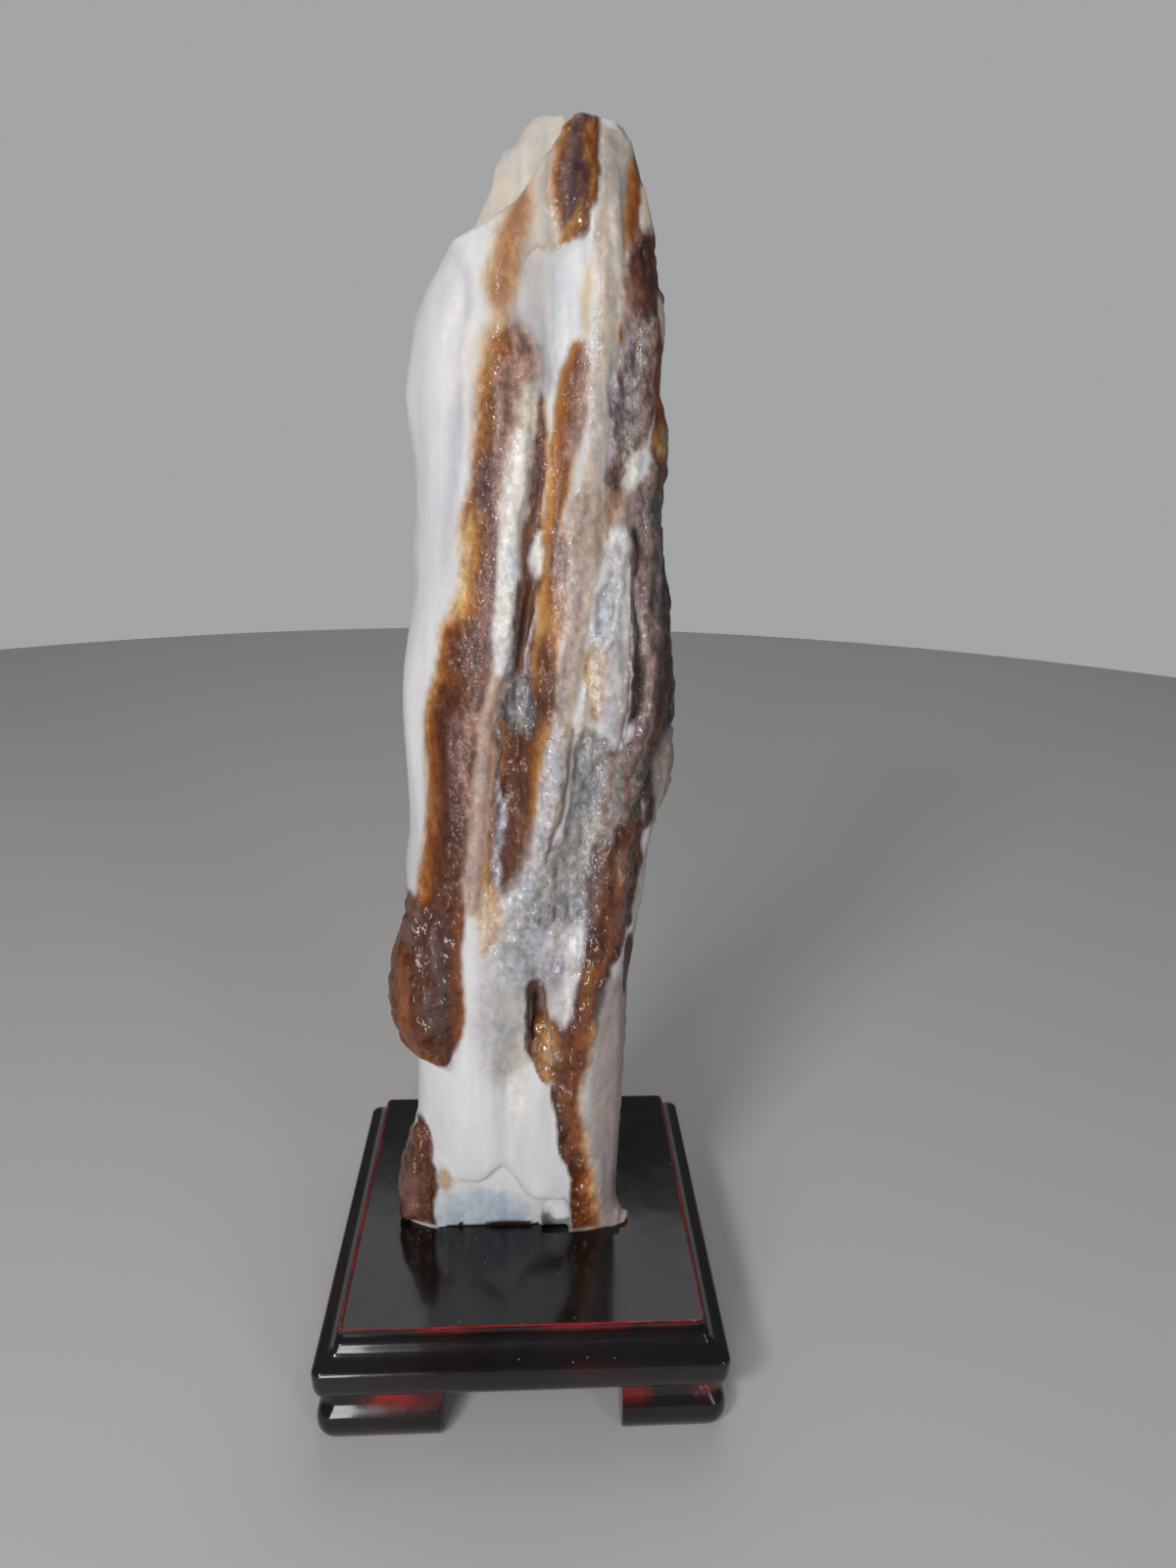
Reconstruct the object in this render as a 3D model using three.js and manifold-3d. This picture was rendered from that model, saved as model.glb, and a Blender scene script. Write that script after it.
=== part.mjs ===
import * as THREE from 'three';
import { mergeVertices } from 'three/addons/utils/BufferGeometryUtils.js';
import Module from 'manifold-3d';

// Opalized petrified wood standing in the socket of a small lacquered stand.
// Millimetres, +Z up, feet on z = 0, the face to look at towards -Y.

// Stand sizes.
const FOOT_HEIGHT = 14.5;
const BOARD_THICKNESS = 15.0;
const PLATE_TOP = FOOT_HEIGHT + BOARD_THICKNESS;
const BEAD_HALF = 51.0;
const CORNER_SIDES = 5;
const SOCKET_DEPTH = 6.0;
const SOCKET_CLEARANCE = 0.4;
const FOOT_WIDTH = 11.0;
const LEFT_FOOT_LENGTH = 31.0;
const RIGHT_FOOT_LENGTH = 26.5;
const FOOT_DEPTH_LENGTH = 28.0;

// Stone sizes. Heights in the tables below are above the top of the stand.
const FOOT_OF_STONE = -SOCKET_DEPTH;
const CROWN = 264.2;
const LEVEL_STEP = 3.7;
const FRONT_COLUMNS = 32;
const BACK_COLUMNS = 14;
const STRIP_STRENGTH = 1.3;

// Moulded edge of the board: [height above the feet's top, half width, corner radius].
const BOARD_PROFILE = [
  [0.0, 49.9, 2.2],
  [0.9, 50.5, 2.4],
  [2.6, 50.9, 2.6],
  [5.2, 51.0, 2.6],
  [7.2, 50.9, 2.5],
  [8.0, 50.3, 2.2],
  [8.6, 49.0, 2.0],
  [9.4, 47.5, 1.9],
  [10.5, 46.5, 1.8],
  [11.6, 46.0, 1.8],
  [12.2, 45.2, 1.6],
  [12.7, 44.3, 1.5],
  [12.9, 45.0, 1.6],
  [14.5, 45.0, 1.6],
  [15.0, 44.5, 1.2],
];

// Outer face of a foot: [height, half width of the stand there, corner radius].
const FOOT_PROFILE = [
  [0.0, 48.6, 3.0],
  [1.2, 49.8, 3.4],
  [3.4, 50.7, 3.8],
  [6.0, 50.9, 4.0],
  [8.2, 50.4, 3.8],
  [10.0, 49.1, 3.4],
  [11.8, 48.5, 3.0],
  [14.5, 49.0, 3.0],
];

// Edges of the front layer of the stone: [height, x].
const LEFT_EDGE = [
  [-6, -34.9], [3, -35.1], [10, -34.2], [17, -32.8], [24, -30.3], [30, -29.1], [42, -28.7],
  [60, -28.6], [93, -29.6], [106, -29.9], [113, -28.4], [131, -28.7], [141, -29.1], [151, -28.7],
  [160, -27.4], [169, -25.8], [174, -24.9], [181, -25.6], [188, -24.3], [199, -24.2], [207, -25.2],
  [212, -26.3], [219, -24.9], [227, -23.4], [234, -20.6], [238, -18.3], [241.8, -15.0],
  [243.6, -10.7], [245.4, -6.8], [247.3, -3.8], [249.4, -1.3], [252.2, 0.6], [255.2, 2.2],
  [258.6, 5.0], [261.4, 7.6], [264.2, 9.8],
];
const RIGHT_EDGE = [
  [-6, 26.2], [12, 26.0], [22, 26.3], [55, 26.9], [66, 27.0], [78, 26.4], [88, 25.9],
  [104, 26.8], [121, 27.9], [129, 30.2], [136, 33.6], [141, 35.2], [145, 36.2], [150, 35.5],
  [160, 34.4], [170, 33.6], [179, 31.8], [188, 31.0], [197, 31.4], [205, 31.9], [211, 30.2],
  [217, 29.3], [224, 29.8], [229, 30.4], [236, 28.3], [243, 26.9], [250, 25.4], [257, 23.7],
  [261, 22.2], [264.2, 19.8],
];

// Where the rounding of the face would end on the left if the layer were whole up there.
const FACE_LEFT = [
  [238, -18.3], [243, -16.4], [248, -13.6], [253, -10.4], [258, -7.0], [264.2, -2.6],
];

// Depth of the front layer before and behind its middle plane: [height, y].
const FRONT_DEPTH = [
  [-6, 14.2], [4, 14.4], [20, 15.2], [60, 15.4], [100, 16.6], [140, 17.8], [175, 17.4],
  [205, 15.8], [230, 12.8], [244, 10.6], [255, 8.4], [264.2, 5.6],
];
const BACK_DEPTH = [
  [-6, 15.6], [20, 16.4], [60, 15.0], [95, 16.8], [130, 15.4], [165, 16.4], [195, 13.8],
  [220, 10.2], [240, 7.2], [252, 5.0], [264.2, 3.2],
];

// Raised and sunk strips along the front: [height, middle x, half width, lift].
const FRONT_STRIPS = {
  leftBrownBand: [
    [229, -0.6, 2.4, 0], [214, -5.6, 4.6, 1.3], [195, -6.1, 6.2, 1.5], [177, -8.9, 5.6, 1.4],
    [166, -11.4, 6.4, 1.6], [144, -14.1, 7.6, 1.8], [117, -17.7, 6.4, 1.5], [97, -20.2, 6.4, 1.7],
    [78, -19.6, 6.0, 1.6], [60, -19.8, 4.6, 0],
  ],
  creamRidge: [
    [224, -0.2, 2.6, 0], [210, 0.2, 2.6, 0.9], [195, -2.2, 3.0, 1.3], [175, -3.3, 3.0, 1.4],
    [156, -3.9, 3.2, 1.3], [136, -8.2, 2.8, 1.1], [116, -10.7, 3.0, 1.2], [95, -11.7, 3.2, 0.9],
    [78, -12.5, 3.0, 0],
  ],
  centreTrough: [
    [210, 3.5, 2.0, 0], [195, 2.8, 3.2, -1.6], [183, 2.1, 3.8, -2.0], [170, 1.6, 3.6, -2.4],
    [153, -1.6, 4.6, -2.2], [140, -3.0, 5.6, -1.9], [123, -2.6, 6.2, -1.8], [106, -3.0, 5.8, -1.4],
    [90, -7.0, 3.5, 0],
  ],
  middleBrownBand: [
    [226, 10.4, 2.4, 0], [214, 9.2, 3.0, 1.1], [200, 7.8, 3.2, 1.2], [187, 7.0, 3.2, 1.1],
    [171, 6.1, 3.2, 1.2], [153, 5.4, 3.4, 0.9], [138, 4.9, 2.6, 0],
  ],
  pinkRidge: [
    [210, 13.3, 2.6, 0], [191, 13.1, 3.2, 0.8], [175, 12.1, 3.4, 1.2], [158, 11.0, 3.6, 1.1],
    [142, 9.0, 3.4, 0],
  ],
  whiteRidge: [
    [266, 17.7, 3.4, 1.0], [250, 17.2, 3.2, 1.5], [236, 16.5, 3.3, 1.6], [221, 16.1, 3.0, 1.5],
    [205, 15.5, 2.8, 1.0], [188, 15.2, 2.6, 0],
  ],
  greyLump: [
    [148, 7.4, 2.4, 0], [136, 7.3, 4.2, 1.8], [123, 6.8, 4.4, 2.0], [110, 6.0, 3.0, 0],
  ],
  greyRidge: [
    [190, 17.0, 3.0, 0], [176, 17.1, 3.6, 1.3], [158, 18.4, 3.6, 1.1], [142, 17.4, 3.6, 0],
  ],
  brightRim: [
    [184, 21.8, 2.0, 0], [168, 23.2, 2.0, 1.6], [153, 23.3, 2.0, 1.6], [138, 21.6, 2.0, 0],
  ],
  sugarHollow: [
    [152, 15.4, 3.4, 0], [138, 15.2, 5.2, -1.8], [116, 14.0, 5.8, -2.0], [100, 11.5, 6.4, -1.6],
    [88, 10.4, 5.2, -1.2], [72, 8.6, 3.6, 0],
  ],
  upperSugarField: [
    [228, 22.0, 5.0, 0], [216, 22.0, 5.4, -1.4], [200, 22.4, 5.0, -1.3], [190, 20.6, 3.0, 0],
  ],
  rightSugarColumn: [
    [200, 27.0, 3.2, 0], [188, 27.0, 4.0, 1.3], [170, 27.9, 3.8, 1.6], [152, 28.8, 3.8, 1.5],
    [136, 28.0, 3.8, 1.2], [118, 26.0, 3.6, 0],
  ],
  rightBrownBand: [
    [128, 23.8, 3.4, 0], [112, 22.0, 5.4, 1.0], [100, 20.8, 6.4, 1.5], [88, 19.8, 6.6, 1.7],
    [74, 18.2, 5.8, 1.5], [64, 16.4, 5.4, 1.4], [55, 13.4, 5.2, 1.2], [43, 13.6, 5.4, 1.3],
    [31, 14.6, 5.4, 1.4], [17, 16.6, 5.6, 1.2], [-6, 17.6, 6.0, 0.3],
  ],
  tornWhiteLobe: [
    [52, 3.6, 3.6, 0], [42, 3.2, 5.2, 1.3], [30, 3.8, 6.2, 1.8], [20, 4.6, 7.4, 2.0],
    [12, 5.4, 7.0, 1.8], [4, 5.4, 6.0, 0],
  ],
  whiteSwell: [
    [100, -8.8, 5.0, 0], [76, -8.4, 7.6, 1.4], [50, -10.0, 8.6, 1.6], [28, -13.0, 9.0, 1.5],
    [12, -13.0, 9.0, 0],
  ],
  crownFlake: [
    [266, 10.8, 4.6, 0.9], [257, 10.2, 5.4, 1.5], [250, 10.0, 5.2, 1.7], [245, 9.6, 4.4, 1.5],
    [241, 8.8, 3.2, 0.9], [237, 8.6, 2.4, 0],
  ],
  smoothScoop: [
    [247, 6.0, 6.0, 0], [239, 6.4, 7.2, -1.4], [231, 6.4, 7.0, -2.2], [223, 6.5, 5.4, -2.0],
    [214, 6.4, 3.8, -1.3], [204, 6.2, 2.6, 0],
  ],
  leftPatch: [
    [251, -1.0, 2.0, 0], [243, -3.4, 3.6, 0.9], [237, -4.2, 4.0, 1.1], [231, -4.4, 3.6, 0.9],
    [225, -3.6, 2.6, 0],
  ],
  flankValley: [
    [240, -9.6, 3.0, 0], [228, -11.6, 3.8, -1.3], [213, -12.8, 3.4, -1.4], [199, -14.2, 3.2, -1.1],
    [184, -15.4, 2.6, 0],
  ],
  flankBulge: [
    [236, -17.0, 3.4, 0], [218, -19.0, 4.6, 1.3], [206, -19.8, 4.4, 1.2], [190, -20.0, 4.0, 0],
  ],
};

// The same down the back: long ribs, a split and one broad shallow break.
const BACK_STRIPS = {
  leftRib: [
    [236, -8.0, 5.0, 0], [200, -11.0, 6.0, 1.5], [150, -15.0, 7.0, 1.9], [90, -17.0, 6.6, 1.4],
    [40, -19.0, 6.0, 0],
  ],
  split: [
    [214, -1.0, 3.0, 0], [170, -3.4, 4.4, -2.2], [120, -4.6, 4.6, -2.6], [70, -6.0, 4.2, -1.9],
    [24, -7.6, 3.0, 0],
  ],
  middleRib: [
    [252, 8.0, 5.0, 0], [205, 7.0, 6.0, 1.5], [160, 6.4, 6.4, 2.0], [100, 5.0, 6.2, 1.7],
    [52, 3.0, 5.0, 0],
  ],
  break: [
    [186, 20.0, 6.0, 0], [160, 20.6, 8.6, -2.4], [132, 20.0, 9.0, -2.6], [108, 18.8, 6.6, 0],
  ],
  lowRib: [
    [96, 15.0, 6.0, 0], [66, 15.6, 7.4, 1.8], [30, 15.0, 7.0, 1.4], [6, 15.0, 6.0, 0],
  ],
};

// Thin flake that stands up behind the crown: [height, left x, right x, front y, back y].
const REAR_FLAKE = [
  [229, -16.6, 13.0, 1.0, 6.5], [237, -17.2, 15.0, -1.6, 7.6], [240.6, -16.2, 16.0, -2.2, 8.0],
  [243.4, -14.1, 16.0, -2.4, 8.2], [245.2, -11.3, 15.6, -2.4, 8.2], [247.4, -10.2, 15.2, -2.4, 8.0],
  [250.4, -8.8, 15.0, -2.2, 7.8], [253.0, -7.1, 14.6, -2.2, 7.4], [256.4, -6.5, 14.2, -2.0, 7.0],
  [259.8, -4.8, 13.8, -1.8, 6.4], [262.4, -2.0, 13.2, -1.4, 5.8], [264.4, -0.2, 12.2, -1.0, 5.0],
  [265.8, 1.6, 10.4, -0.4, 4.2], [266.5, 3.4, 8.2, 0.4, 3.4],
];

// Hanging lobe low on the left.
const HANGING_LOBE = [
  [119.0, -22.4, -16.6, -11.4, -5.0], [109.0, -23.8, -15.8, -13.2, -4.2],
  [101.0, -24.6, -17.0, -13.4, -6.0], [97.5, -26.6, -15.2, -14.6, -3.6],
  [93.0, -29.2, -13.6, -15.6, -1.0], [87.0, -31.4, -13.0, -16.2, 0.6],
  [80.0, -33.2, -12.8, -16.4, 1.4], [73.0, -34.2, -13.0, -16.6, 1.6],
  [66.5, -34.0, -13.4, -16.8, 1.2], [61.5, -32.4, -14.0, -16.8, 0.0],
  [58.0, -29.8, -14.6, -16.6, -2.0], [55.2, -26.6, -15.8, -16.2, -4.6],
  [53.2, -23.6, -17.0, -15.2, -7.6], [52.2, -21.8, -18.2, -13.8, -9.6],
];

// Brown crust standing a little proud at the left of the foot.
const BASE_CHUNK = [
  [0.8, -34.9, -24.2, -10.6, 3.0], [7.0, -34.7, -24.3, -11.6, 3.6], [14.0, -33.6, -24.6, -12.0, 3.0],
  [21.0, -31.6, -25.0, -11.6, 0.6], [27.0, -30.0, -25.8, -10.4, -2.4],
  [31.4, -29.2, -27.0, -9.0, -4.4],
];

// Pale layer that shows behind the right edge.
const REAR_LAYER = [
  [56, 8.0, 25.4, -1.0, 12.0], [66, 8.0, 27.2, -3.0, 13.6], [77, 8.0, 28.7, -4.2, 14.6],
  [87, 8.0, 29.5, -4.8, 15.4], [97, 8.0, 31.1, -5.0, 15.8], [107, 8.0, 31.9, -5.0, 15.8],
  [115, 8.0, 33.1, -5.0, 15.6], [121, 8.0, 35.1, -4.8, 15.2], [127, 8.0, 36.8, -4.4, 14.8],
  [134, 8.0, 36.8, -3.6, 14.4], [141, 8.0, 35.6, -2.6, 14.0], [150, 8.0, 33.0, -0.6, 13.0],
];

// Small spur at the right of the foot.
const SPUR = [
  [-6, 19.0, 27.0, -12.6, -6.0], [-0.4, 19.0, 28.6, -12.8, -6.4], [2.2, 19.0, 28.9, -12.6, -7.0],
  [4.4, 20.0, 27.4, -12.2, -7.8],
];

// Outlines cut out of the face: [x, height].
const SLOT = [
  [5.4, 79.0], [3.6, 80.6], [2.0, 79.0], [0.9, 75.6], [0.9, 69.0], [0.4, 64.6], [1.3, 60.6],
  [0.7, 56.4], [1.8, 52.0], [4.2, 49.0], [7.2, 48.4], [8.6, 51.5], [8.4, 57.0], [6.4, 62.0],
  [6.4, 69.0],
];
const SLIT = [[2.2, 177.0], [0.8, 176.2], [-0.9, 170.5], [-1.6, 162.0], [-0.6, 155.4], [1.0, 160.0], [1.2, 168.0]];
const FOOT_RECESS = [
  [-23.8, -7], [-24.0, 8.0], [-23.4, 15.4], [-17.0, 17.2], [-11.2, 16.8], [-8.6, 20.4],
  [-6.2, 22.4], [-4.4, 21.4], [-2.6, 18.6], [-0.6, 15.0], [1.3, 12.4], [4.7, 10.8], [7.9, 11.8],
  [10.4, 11.4], [12.6, 9.0], [12.4, -7],
];
const ARCH = [[4.9, -7], [4.9, 6.0], [6.2, 9.6], [8.6, 10.8], [10.8, 9.6], [12.3, 6.0], [12.3, -7]];
const FACE_FRONT = -30;
const SLOT_BACK = -9.5;
const SLIT_BACK = -13.2;
const RECESS_BACK = -11.0;
const ARCH_BACK = -6.0;

const wasm = await Module();
wasm.setup();

// Smooth reading of a table at a height: column 0 is the height.
function along(table, z, column) {
  const last = table.length - 1;
  const up = table[0][0] < table[last][0];
  const rows = up ? table : [...table].reverse();
  if (z <= rows[0][0]) return rows[0][column];
  if (z >= rows[last][0]) return rows[last][column];
  let i = 0;
  while (rows[i + 1][0] < z) i += 1;
  const before = rows[Math.max(i - 1, 0)];
  const here = rows[i];
  const next = rows[i + 1];
  const after = rows[Math.min(i + 2, last)];
  const span = next[0] - here[0];
  const t = (z - here[0]) / span;
  const slopeHere = (next[column] - before[column]) / (next[0] - before[0]) * span;
  const slopeNext = (after[column] - here[column]) / (after[0] - here[0]) * span;
  const t2 = t * t;
  const t3 = t2 * t;
  return (2 * t3 - 3 * t2 + 1) * here[column] + (t3 - 2 * t2 + t) * slopeHere
    + (3 * t2 - 2 * t3) * next[column] + (t3 - t2) * slopeNext;
}

// Height of all strips at one spot of a face.
function relief(strips, x, z) {
  let lift = 0;
  for (const path of Object.values(strips)) {
    const [first, last] = [path[0][0], path[path.length - 1][0]];
    if (z > Math.max(first, last) || z < Math.min(first, last)) continue;
    const reach = Math.abs(x - along(path, z, 1)) / along(path, z, 2);
    if (reach < 1) lift += STRIP_STRENGTH * along(path, z, 3) * (1 - reach * reach) ** 1.5;
  }
  return lift;
}

// Slow unevenness that runs with the grain of the wood.
function grain(x, z) {
  return 0.34 * Math.sin(0.62 * x + 1.2 * Math.sin(0.047 * z))
    + 0.26 * Math.sin(0.33 * x - 0.061 * z + 1.3)
    + 0.20 * Math.sin(0.19 * z + 1.7 * Math.sin(0.21 * x));
}

// Closed solid through a stack of rings with the same number of points.
function loft(rings) {
  const count = rings[0].length;
  const positions = rings.flat().flatMap((p) => [p.x, p.y, p.z]);
  const faces = [];
  for (let r = 0; r < rings.length - 1; r += 1) {
    for (let k = 0; k < count; k += 1) {
      const a = r * count + k;
      const b = r * count + (k + 1) % count;
      faces.push(a, b, b + count, a, b + count, a + count);
    }
  }
  const top = (rings.length - 1) * count;
  const flat = (ring) => ring.map((p) => new THREE.Vector2(p.x, p.y));
  for (const [a, b, c] of THREE.ShapeUtils.triangulateShape(flat(rings[0]), [])) faces.push(c, b, a);
  for (const [a, b, c] of THREE.ShapeUtils.triangulateShape(flat(rings.at(-1)), [])) {
    faces.push(top + a, top + b, top + c);
  }
  const geometry = new THREE.BufferGeometry();
  geometry.setAttribute('position', new THREE.Float32BufferAttribute(positions, 3));
  geometry.setIndex(faces);
  return geometry;
}

function toManifold(geometry) {
  const bare = geometry.clone();
  bare.deleteAttribute('normal');
  bare.deleteAttribute('uv');
  const merged = mergeVertices(bare, 1e-4);
  return new wasm.Manifold(new wasm.Mesh({
    numProp: 3,
    vertProperties: new Float32Array(merged.attributes.position.array),
    triVerts: new Uint32Array(merged.index.array),
  }));
}

function fromManifold(solid) {
  const mesh = solid.getMesh();
  const geometry = new THREE.BufferGeometry();
  geometry.setAttribute('position', new THREE.Float32BufferAttribute(mesh.vertProperties, 3));
  geometry.setIndex(Array.from(mesh.triVerts));
  return geometry;
}

// One ring of the front layer of the stone, anticlockwise from its left edge.
function stoneRing(height) {
  const z = Math.max(height, 0);
  const left = along(LEFT_EDGE, height, 1);
  const right = along(RIGHT_EDGE, height, 1);
  const middle = (left + right) / 2;
  const half = (right - left) / 2;
  const front = along(FRONT_DEPTH, height, 1);
  const back = along(BACK_DEPTH, height, 1);
  const faceLeft = height > FACE_LEFT[0][0] ? along(FACE_LEFT, height, 1) : left;
  const faceMiddle = (faceLeft + right) / 2;
  const faceHalf = (right - faceLeft) / 2;
  const squareness = THREE.MathUtils.clamp(1 - height / 120, 0, 1);
  const ring = [];
  for (let k = 0; k < FRONT_COLUMNS; k += 1) {
    const t = -1 + 2 * k / FRONT_COLUMNS;
    const s = 0.45 * t + 0.55 * Math.sin(t * Math.PI / 2);
    const x = middle + half * s;
    const u = THREE.MathUtils.clamp((x - faceMiddle) / faceHalf, -1, 1);
    const power = u < 0 ? 2.4 : 2.6 + 2.6 * squareness;
    const depth = front * (1 - Math.abs(u) ** power) ** (1 / power);
    const fade = 1 - Math.abs(u) ** 6;
    const lift = height > 0 ? fade * (relief(FRONT_STRIPS, x, z) + grain(x, z)) : 0;
    ring.push(new THREE.Vector3(x, -depth - lift, PLATE_TOP + height));
  }
  for (let k = 0; k < BACK_COLUMNS; k += 1) {
    const t = 1 - 2 * k / BACK_COLUMNS;
    const s = Math.sin(t * Math.PI / 2);
    const x = middle + half * s;
    const depth = back * (1 - Math.abs(s) ** 2.7) ** (1 / 2.7);
    const fade = 1 - Math.abs(s) ** 6;
    const lift = height > 0 ? fade * (relief(BACK_STRIPS, x, z) + 1.5 * grain(x + 40, z)) : 0;
    ring.push(new THREE.Vector3(x, depth + lift, PLATE_TOP + height));
  }
  return ring;
}

// A lens-shaped section of a smaller part of the stone.
function lensRing([height, left, right, front, back], points, power) {
  const ring = [];
  for (let k = 0; k < points; k += 1) {
    const angle = 2 * Math.PI * k / points;
    const c = Math.cos(angle);
    const s = Math.sin(angle);
    const scale = (Math.abs(c) ** power + Math.abs(s) ** power) ** (-1 / power);
    ring.push(new THREE.Vector3(
      (left + right) / 2 + (right - left) / 2 * c * scale,
      (front + back) / 2 + (back - front) / 2 * s * scale,
      PLATE_TOP + height,
    ));
  }
  return ring;
}

function lensSolid(table, points, power) {
  const rows = table[0][0] < table.at(-1)[0] ? table : [...table].reverse();
  return toManifold(loft(rows.map((row) => lensRing(row, points, power))));
}

// A cut that goes into the face, a little narrower at its bottom.
function faceCut(outline, back, taper) {
  const centre = outline.reduce((sum, [x, z]) => [sum[0] + x / outline.length, sum[1] + z / outline.length], [0, 0]);
  const ring = (y, scale) => outline.map(([x, z]) => new THREE.Vector3(
    centre[0] + (x - centre[0]) * scale,
    PLATE_TOP + centre[1] + (z - centre[1]) * scale,
    y,
  ));
  const area = THREE.ShapeUtils.area(outline.map(([x, z]) => new THREE.Vector2(x, z)));
  const ordered = (points) => (area > 0 ? points : [...points].reverse());
  const rings = [ordered(ring(-back, taper)), ordered(ring(-FACE_FRONT, 1))];
  const geometry = loft(rings);
  geometry.rotateX(Math.PI / 2);
  return toManifold(geometry);
}

function stoneLevels() {
  const levels = [FOOT_OF_STONE, 0];
  const steps = Math.round(CROWN / LEVEL_STEP);
  for (let k = 1; k <= steps; k += 1) {
    levels.push(k * CROWN / steps);
  }
  return levels;
}

// Uneven top of the front layer.
function crownRing(scale, rise) {
  const rim = stoneRing(CROWN);
  const centre = rim.reduce((sum, p) => sum.addScaledVector(p, 1 / rim.length), new THREE.Vector3());
  return rim.map((p) => new THREE.Vector3(
    centre.x + (p.x - centre.x) * scale,
    centre.y + (p.y - centre.y) * scale,
    p.z + rise + 0.3 * Math.sin(0.9 * p.x),
  ));
}

function makeStone() {
  const body = toManifold(loft([...stoneLevels().map(stoneRing), crownRing(0.6, 0.5)]));
  return fromManifold(body
    .add(lensSolid(REAR_FLAKE, 18, 2.6))
    .add(lensSolid(HANGING_LOBE, 20, 2.2))
    .add(lensSolid(REAR_LAYER, 18, 3.6))
    .add(lensSolid(SPUR, 10, 2.2))
    .add(lensSolid(BASE_CHUNK, 12, 2.8))
    .subtract(faceCut(SLOT, SLOT_BACK, 0.72))
    .subtract(faceCut(SLIT, SLIT_BACK, 0.6))
    .subtract(faceCut(FOOT_RECESS, RECESS_BACK, 1))
    .subtract(faceCut(ARCH, ARCH_BACK, 1)));
}

// Square ring with rounded corners.
function squareRing(half, radius, z) {
  const ring = [];
  for (let corner = 0; corner < 4; corner += 1) {
    const turn = corner * Math.PI / 2;
    for (let k = 0; k <= CORNER_SIDES; k += 1) {
      const angle = turn + k / CORNER_SIDES * Math.PI / 2;
      const inner = half - radius;
      const cx = inner * (corner === 0 || corner === 3 ? 1 : -1);
      const cy = inner * (corner < 2 ? 1 : -1);
      ring.push(new THREE.Vector3(cx + radius * Math.cos(angle), cy + radius * Math.sin(angle), z));
    }
  }
  return ring;
}

// Socket carved to the outline of the stone's foot; the arch stays open in front.
function socketCut() {
  const foot = stoneRing(FOOT_OF_STONE);
  const outline = foot.map((p, k) => {
    const before = foot[(k + foot.length - 1) % foot.length];
    const after = foot[(k + 1) % foot.length];
    const run = new THREE.Vector2(after.x - before.x, after.y - before.y).normalize();
    return new THREE.Vector2(p.x + run.y * SOCKET_CLEARANCE, p.y - run.x * SOCKET_CLEARANCE);
  });
  const ring = (z) => outline.map((p) => new THREE.Vector3(p.x, p.y, z));
  const left = FOOT_RECESS[0][0] + SOCKET_CLEARANCE;
  const right = ARCH[0][0];
  const kept = faceCut(
    [[left, -9], [right, -9], [right, 4], [left, 4]],
    RECESS_BACK - SOCKET_CLEARANCE,
    1,
  );
  const spur = lensSolid(SPUR.map(([height, x0, x1, y0, y1]) => [
    height, x0, x1 + SOCKET_CLEARANCE, y0 - SOCKET_CLEARANCE, y1 + SOCKET_CLEARANCE,
  ]), 10, 2.2);
  return toManifold(loft([ring(PLATE_TOP - SOCKET_DEPTH), ring(PLATE_TOP + 2)]))
    .subtract(kept)
    .add(spur);
}

function makeBoard() {
  const rings = BOARD_PROFILE.map(([z, half, radius]) => squareRing(half, radius, FOOT_HEIGHT + z));
  return fromManifold(toManifold(loft(rings)).subtract(socketCut()));
}

// L-shaped bracket foot with an outer face that hollows in and swells out.
function makeFoot(sideX, sideY, length) {
  const rings = FOOT_PROFILE.map(([z, half, radius]) => {
    const inset = BEAD_HALF - half;
    const ring = [
      [length, inset],
      [length, FOOT_WIDTH],
      [FOOT_WIDTH, FOOT_WIDTH],
      [FOOT_WIDTH, FOOT_DEPTH_LENGTH],
      [inset, FOOT_DEPTH_LENGTH],
    ];
    for (let k = 0; k <= CORNER_SIDES; k += 1) {
      const angle = Math.PI + k / CORNER_SIDES * Math.PI / 2;
      ring.push([inset + radius + radius * Math.cos(angle), inset + radius + radius * Math.sin(angle)]);
    }
    const placed = ring.map(([x, y]) => new THREE.Vector3(
      sideX * (BEAD_HALF - x),
      sideY * (BEAD_HALF - y),
      z,
    ));
    return sideX * sideY > 0 ? placed : placed.reverse();
  });
  return loft(rings);
}

function material(name, color, roughness, metalness) {
  const made = new THREE.MeshStandardMaterial({ color, roughness, metalness });
  made.name = name;
  return made;
}

function piece(name, geometry, finish) {
  geometry.computeVertexNormals();
  const mesh = new THREE.Mesh(geometry, finish);
  mesh.name = name;
  return mesh;
}

const opal = () => material('opal', 0xd9c4b2, 0.35, 0.0);
const lacquer = () => material('lacquer', 0x16090b, 0.15, 0.0);

const model = new THREE.Group();
model.name = 'petrified_wood_on_stand';
model.add(piece('petrified_wood', makeStone(), opal()));
model.add(piece('stand_board', makeBoard(), lacquer()));
model.add(piece('foot_front_left', makeFoot(-1, -1, LEFT_FOOT_LENGTH), lacquer()));
model.add(piece('foot_front_right', makeFoot(1, -1, RIGHT_FOOT_LENGTH), lacquer()));
model.add(piece('foot_rear_left', makeFoot(-1, 1, LEFT_FOOT_LENGTH), lacquer()));
model.add(piece('foot_rear_right', makeFoot(1, 1, RIGHT_FOOT_LENGTH), lacquer()));

export default model;
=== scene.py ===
import math

import bmesh
import bpy
import numpy as np
from mathutils import Matrix, Vector

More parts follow.
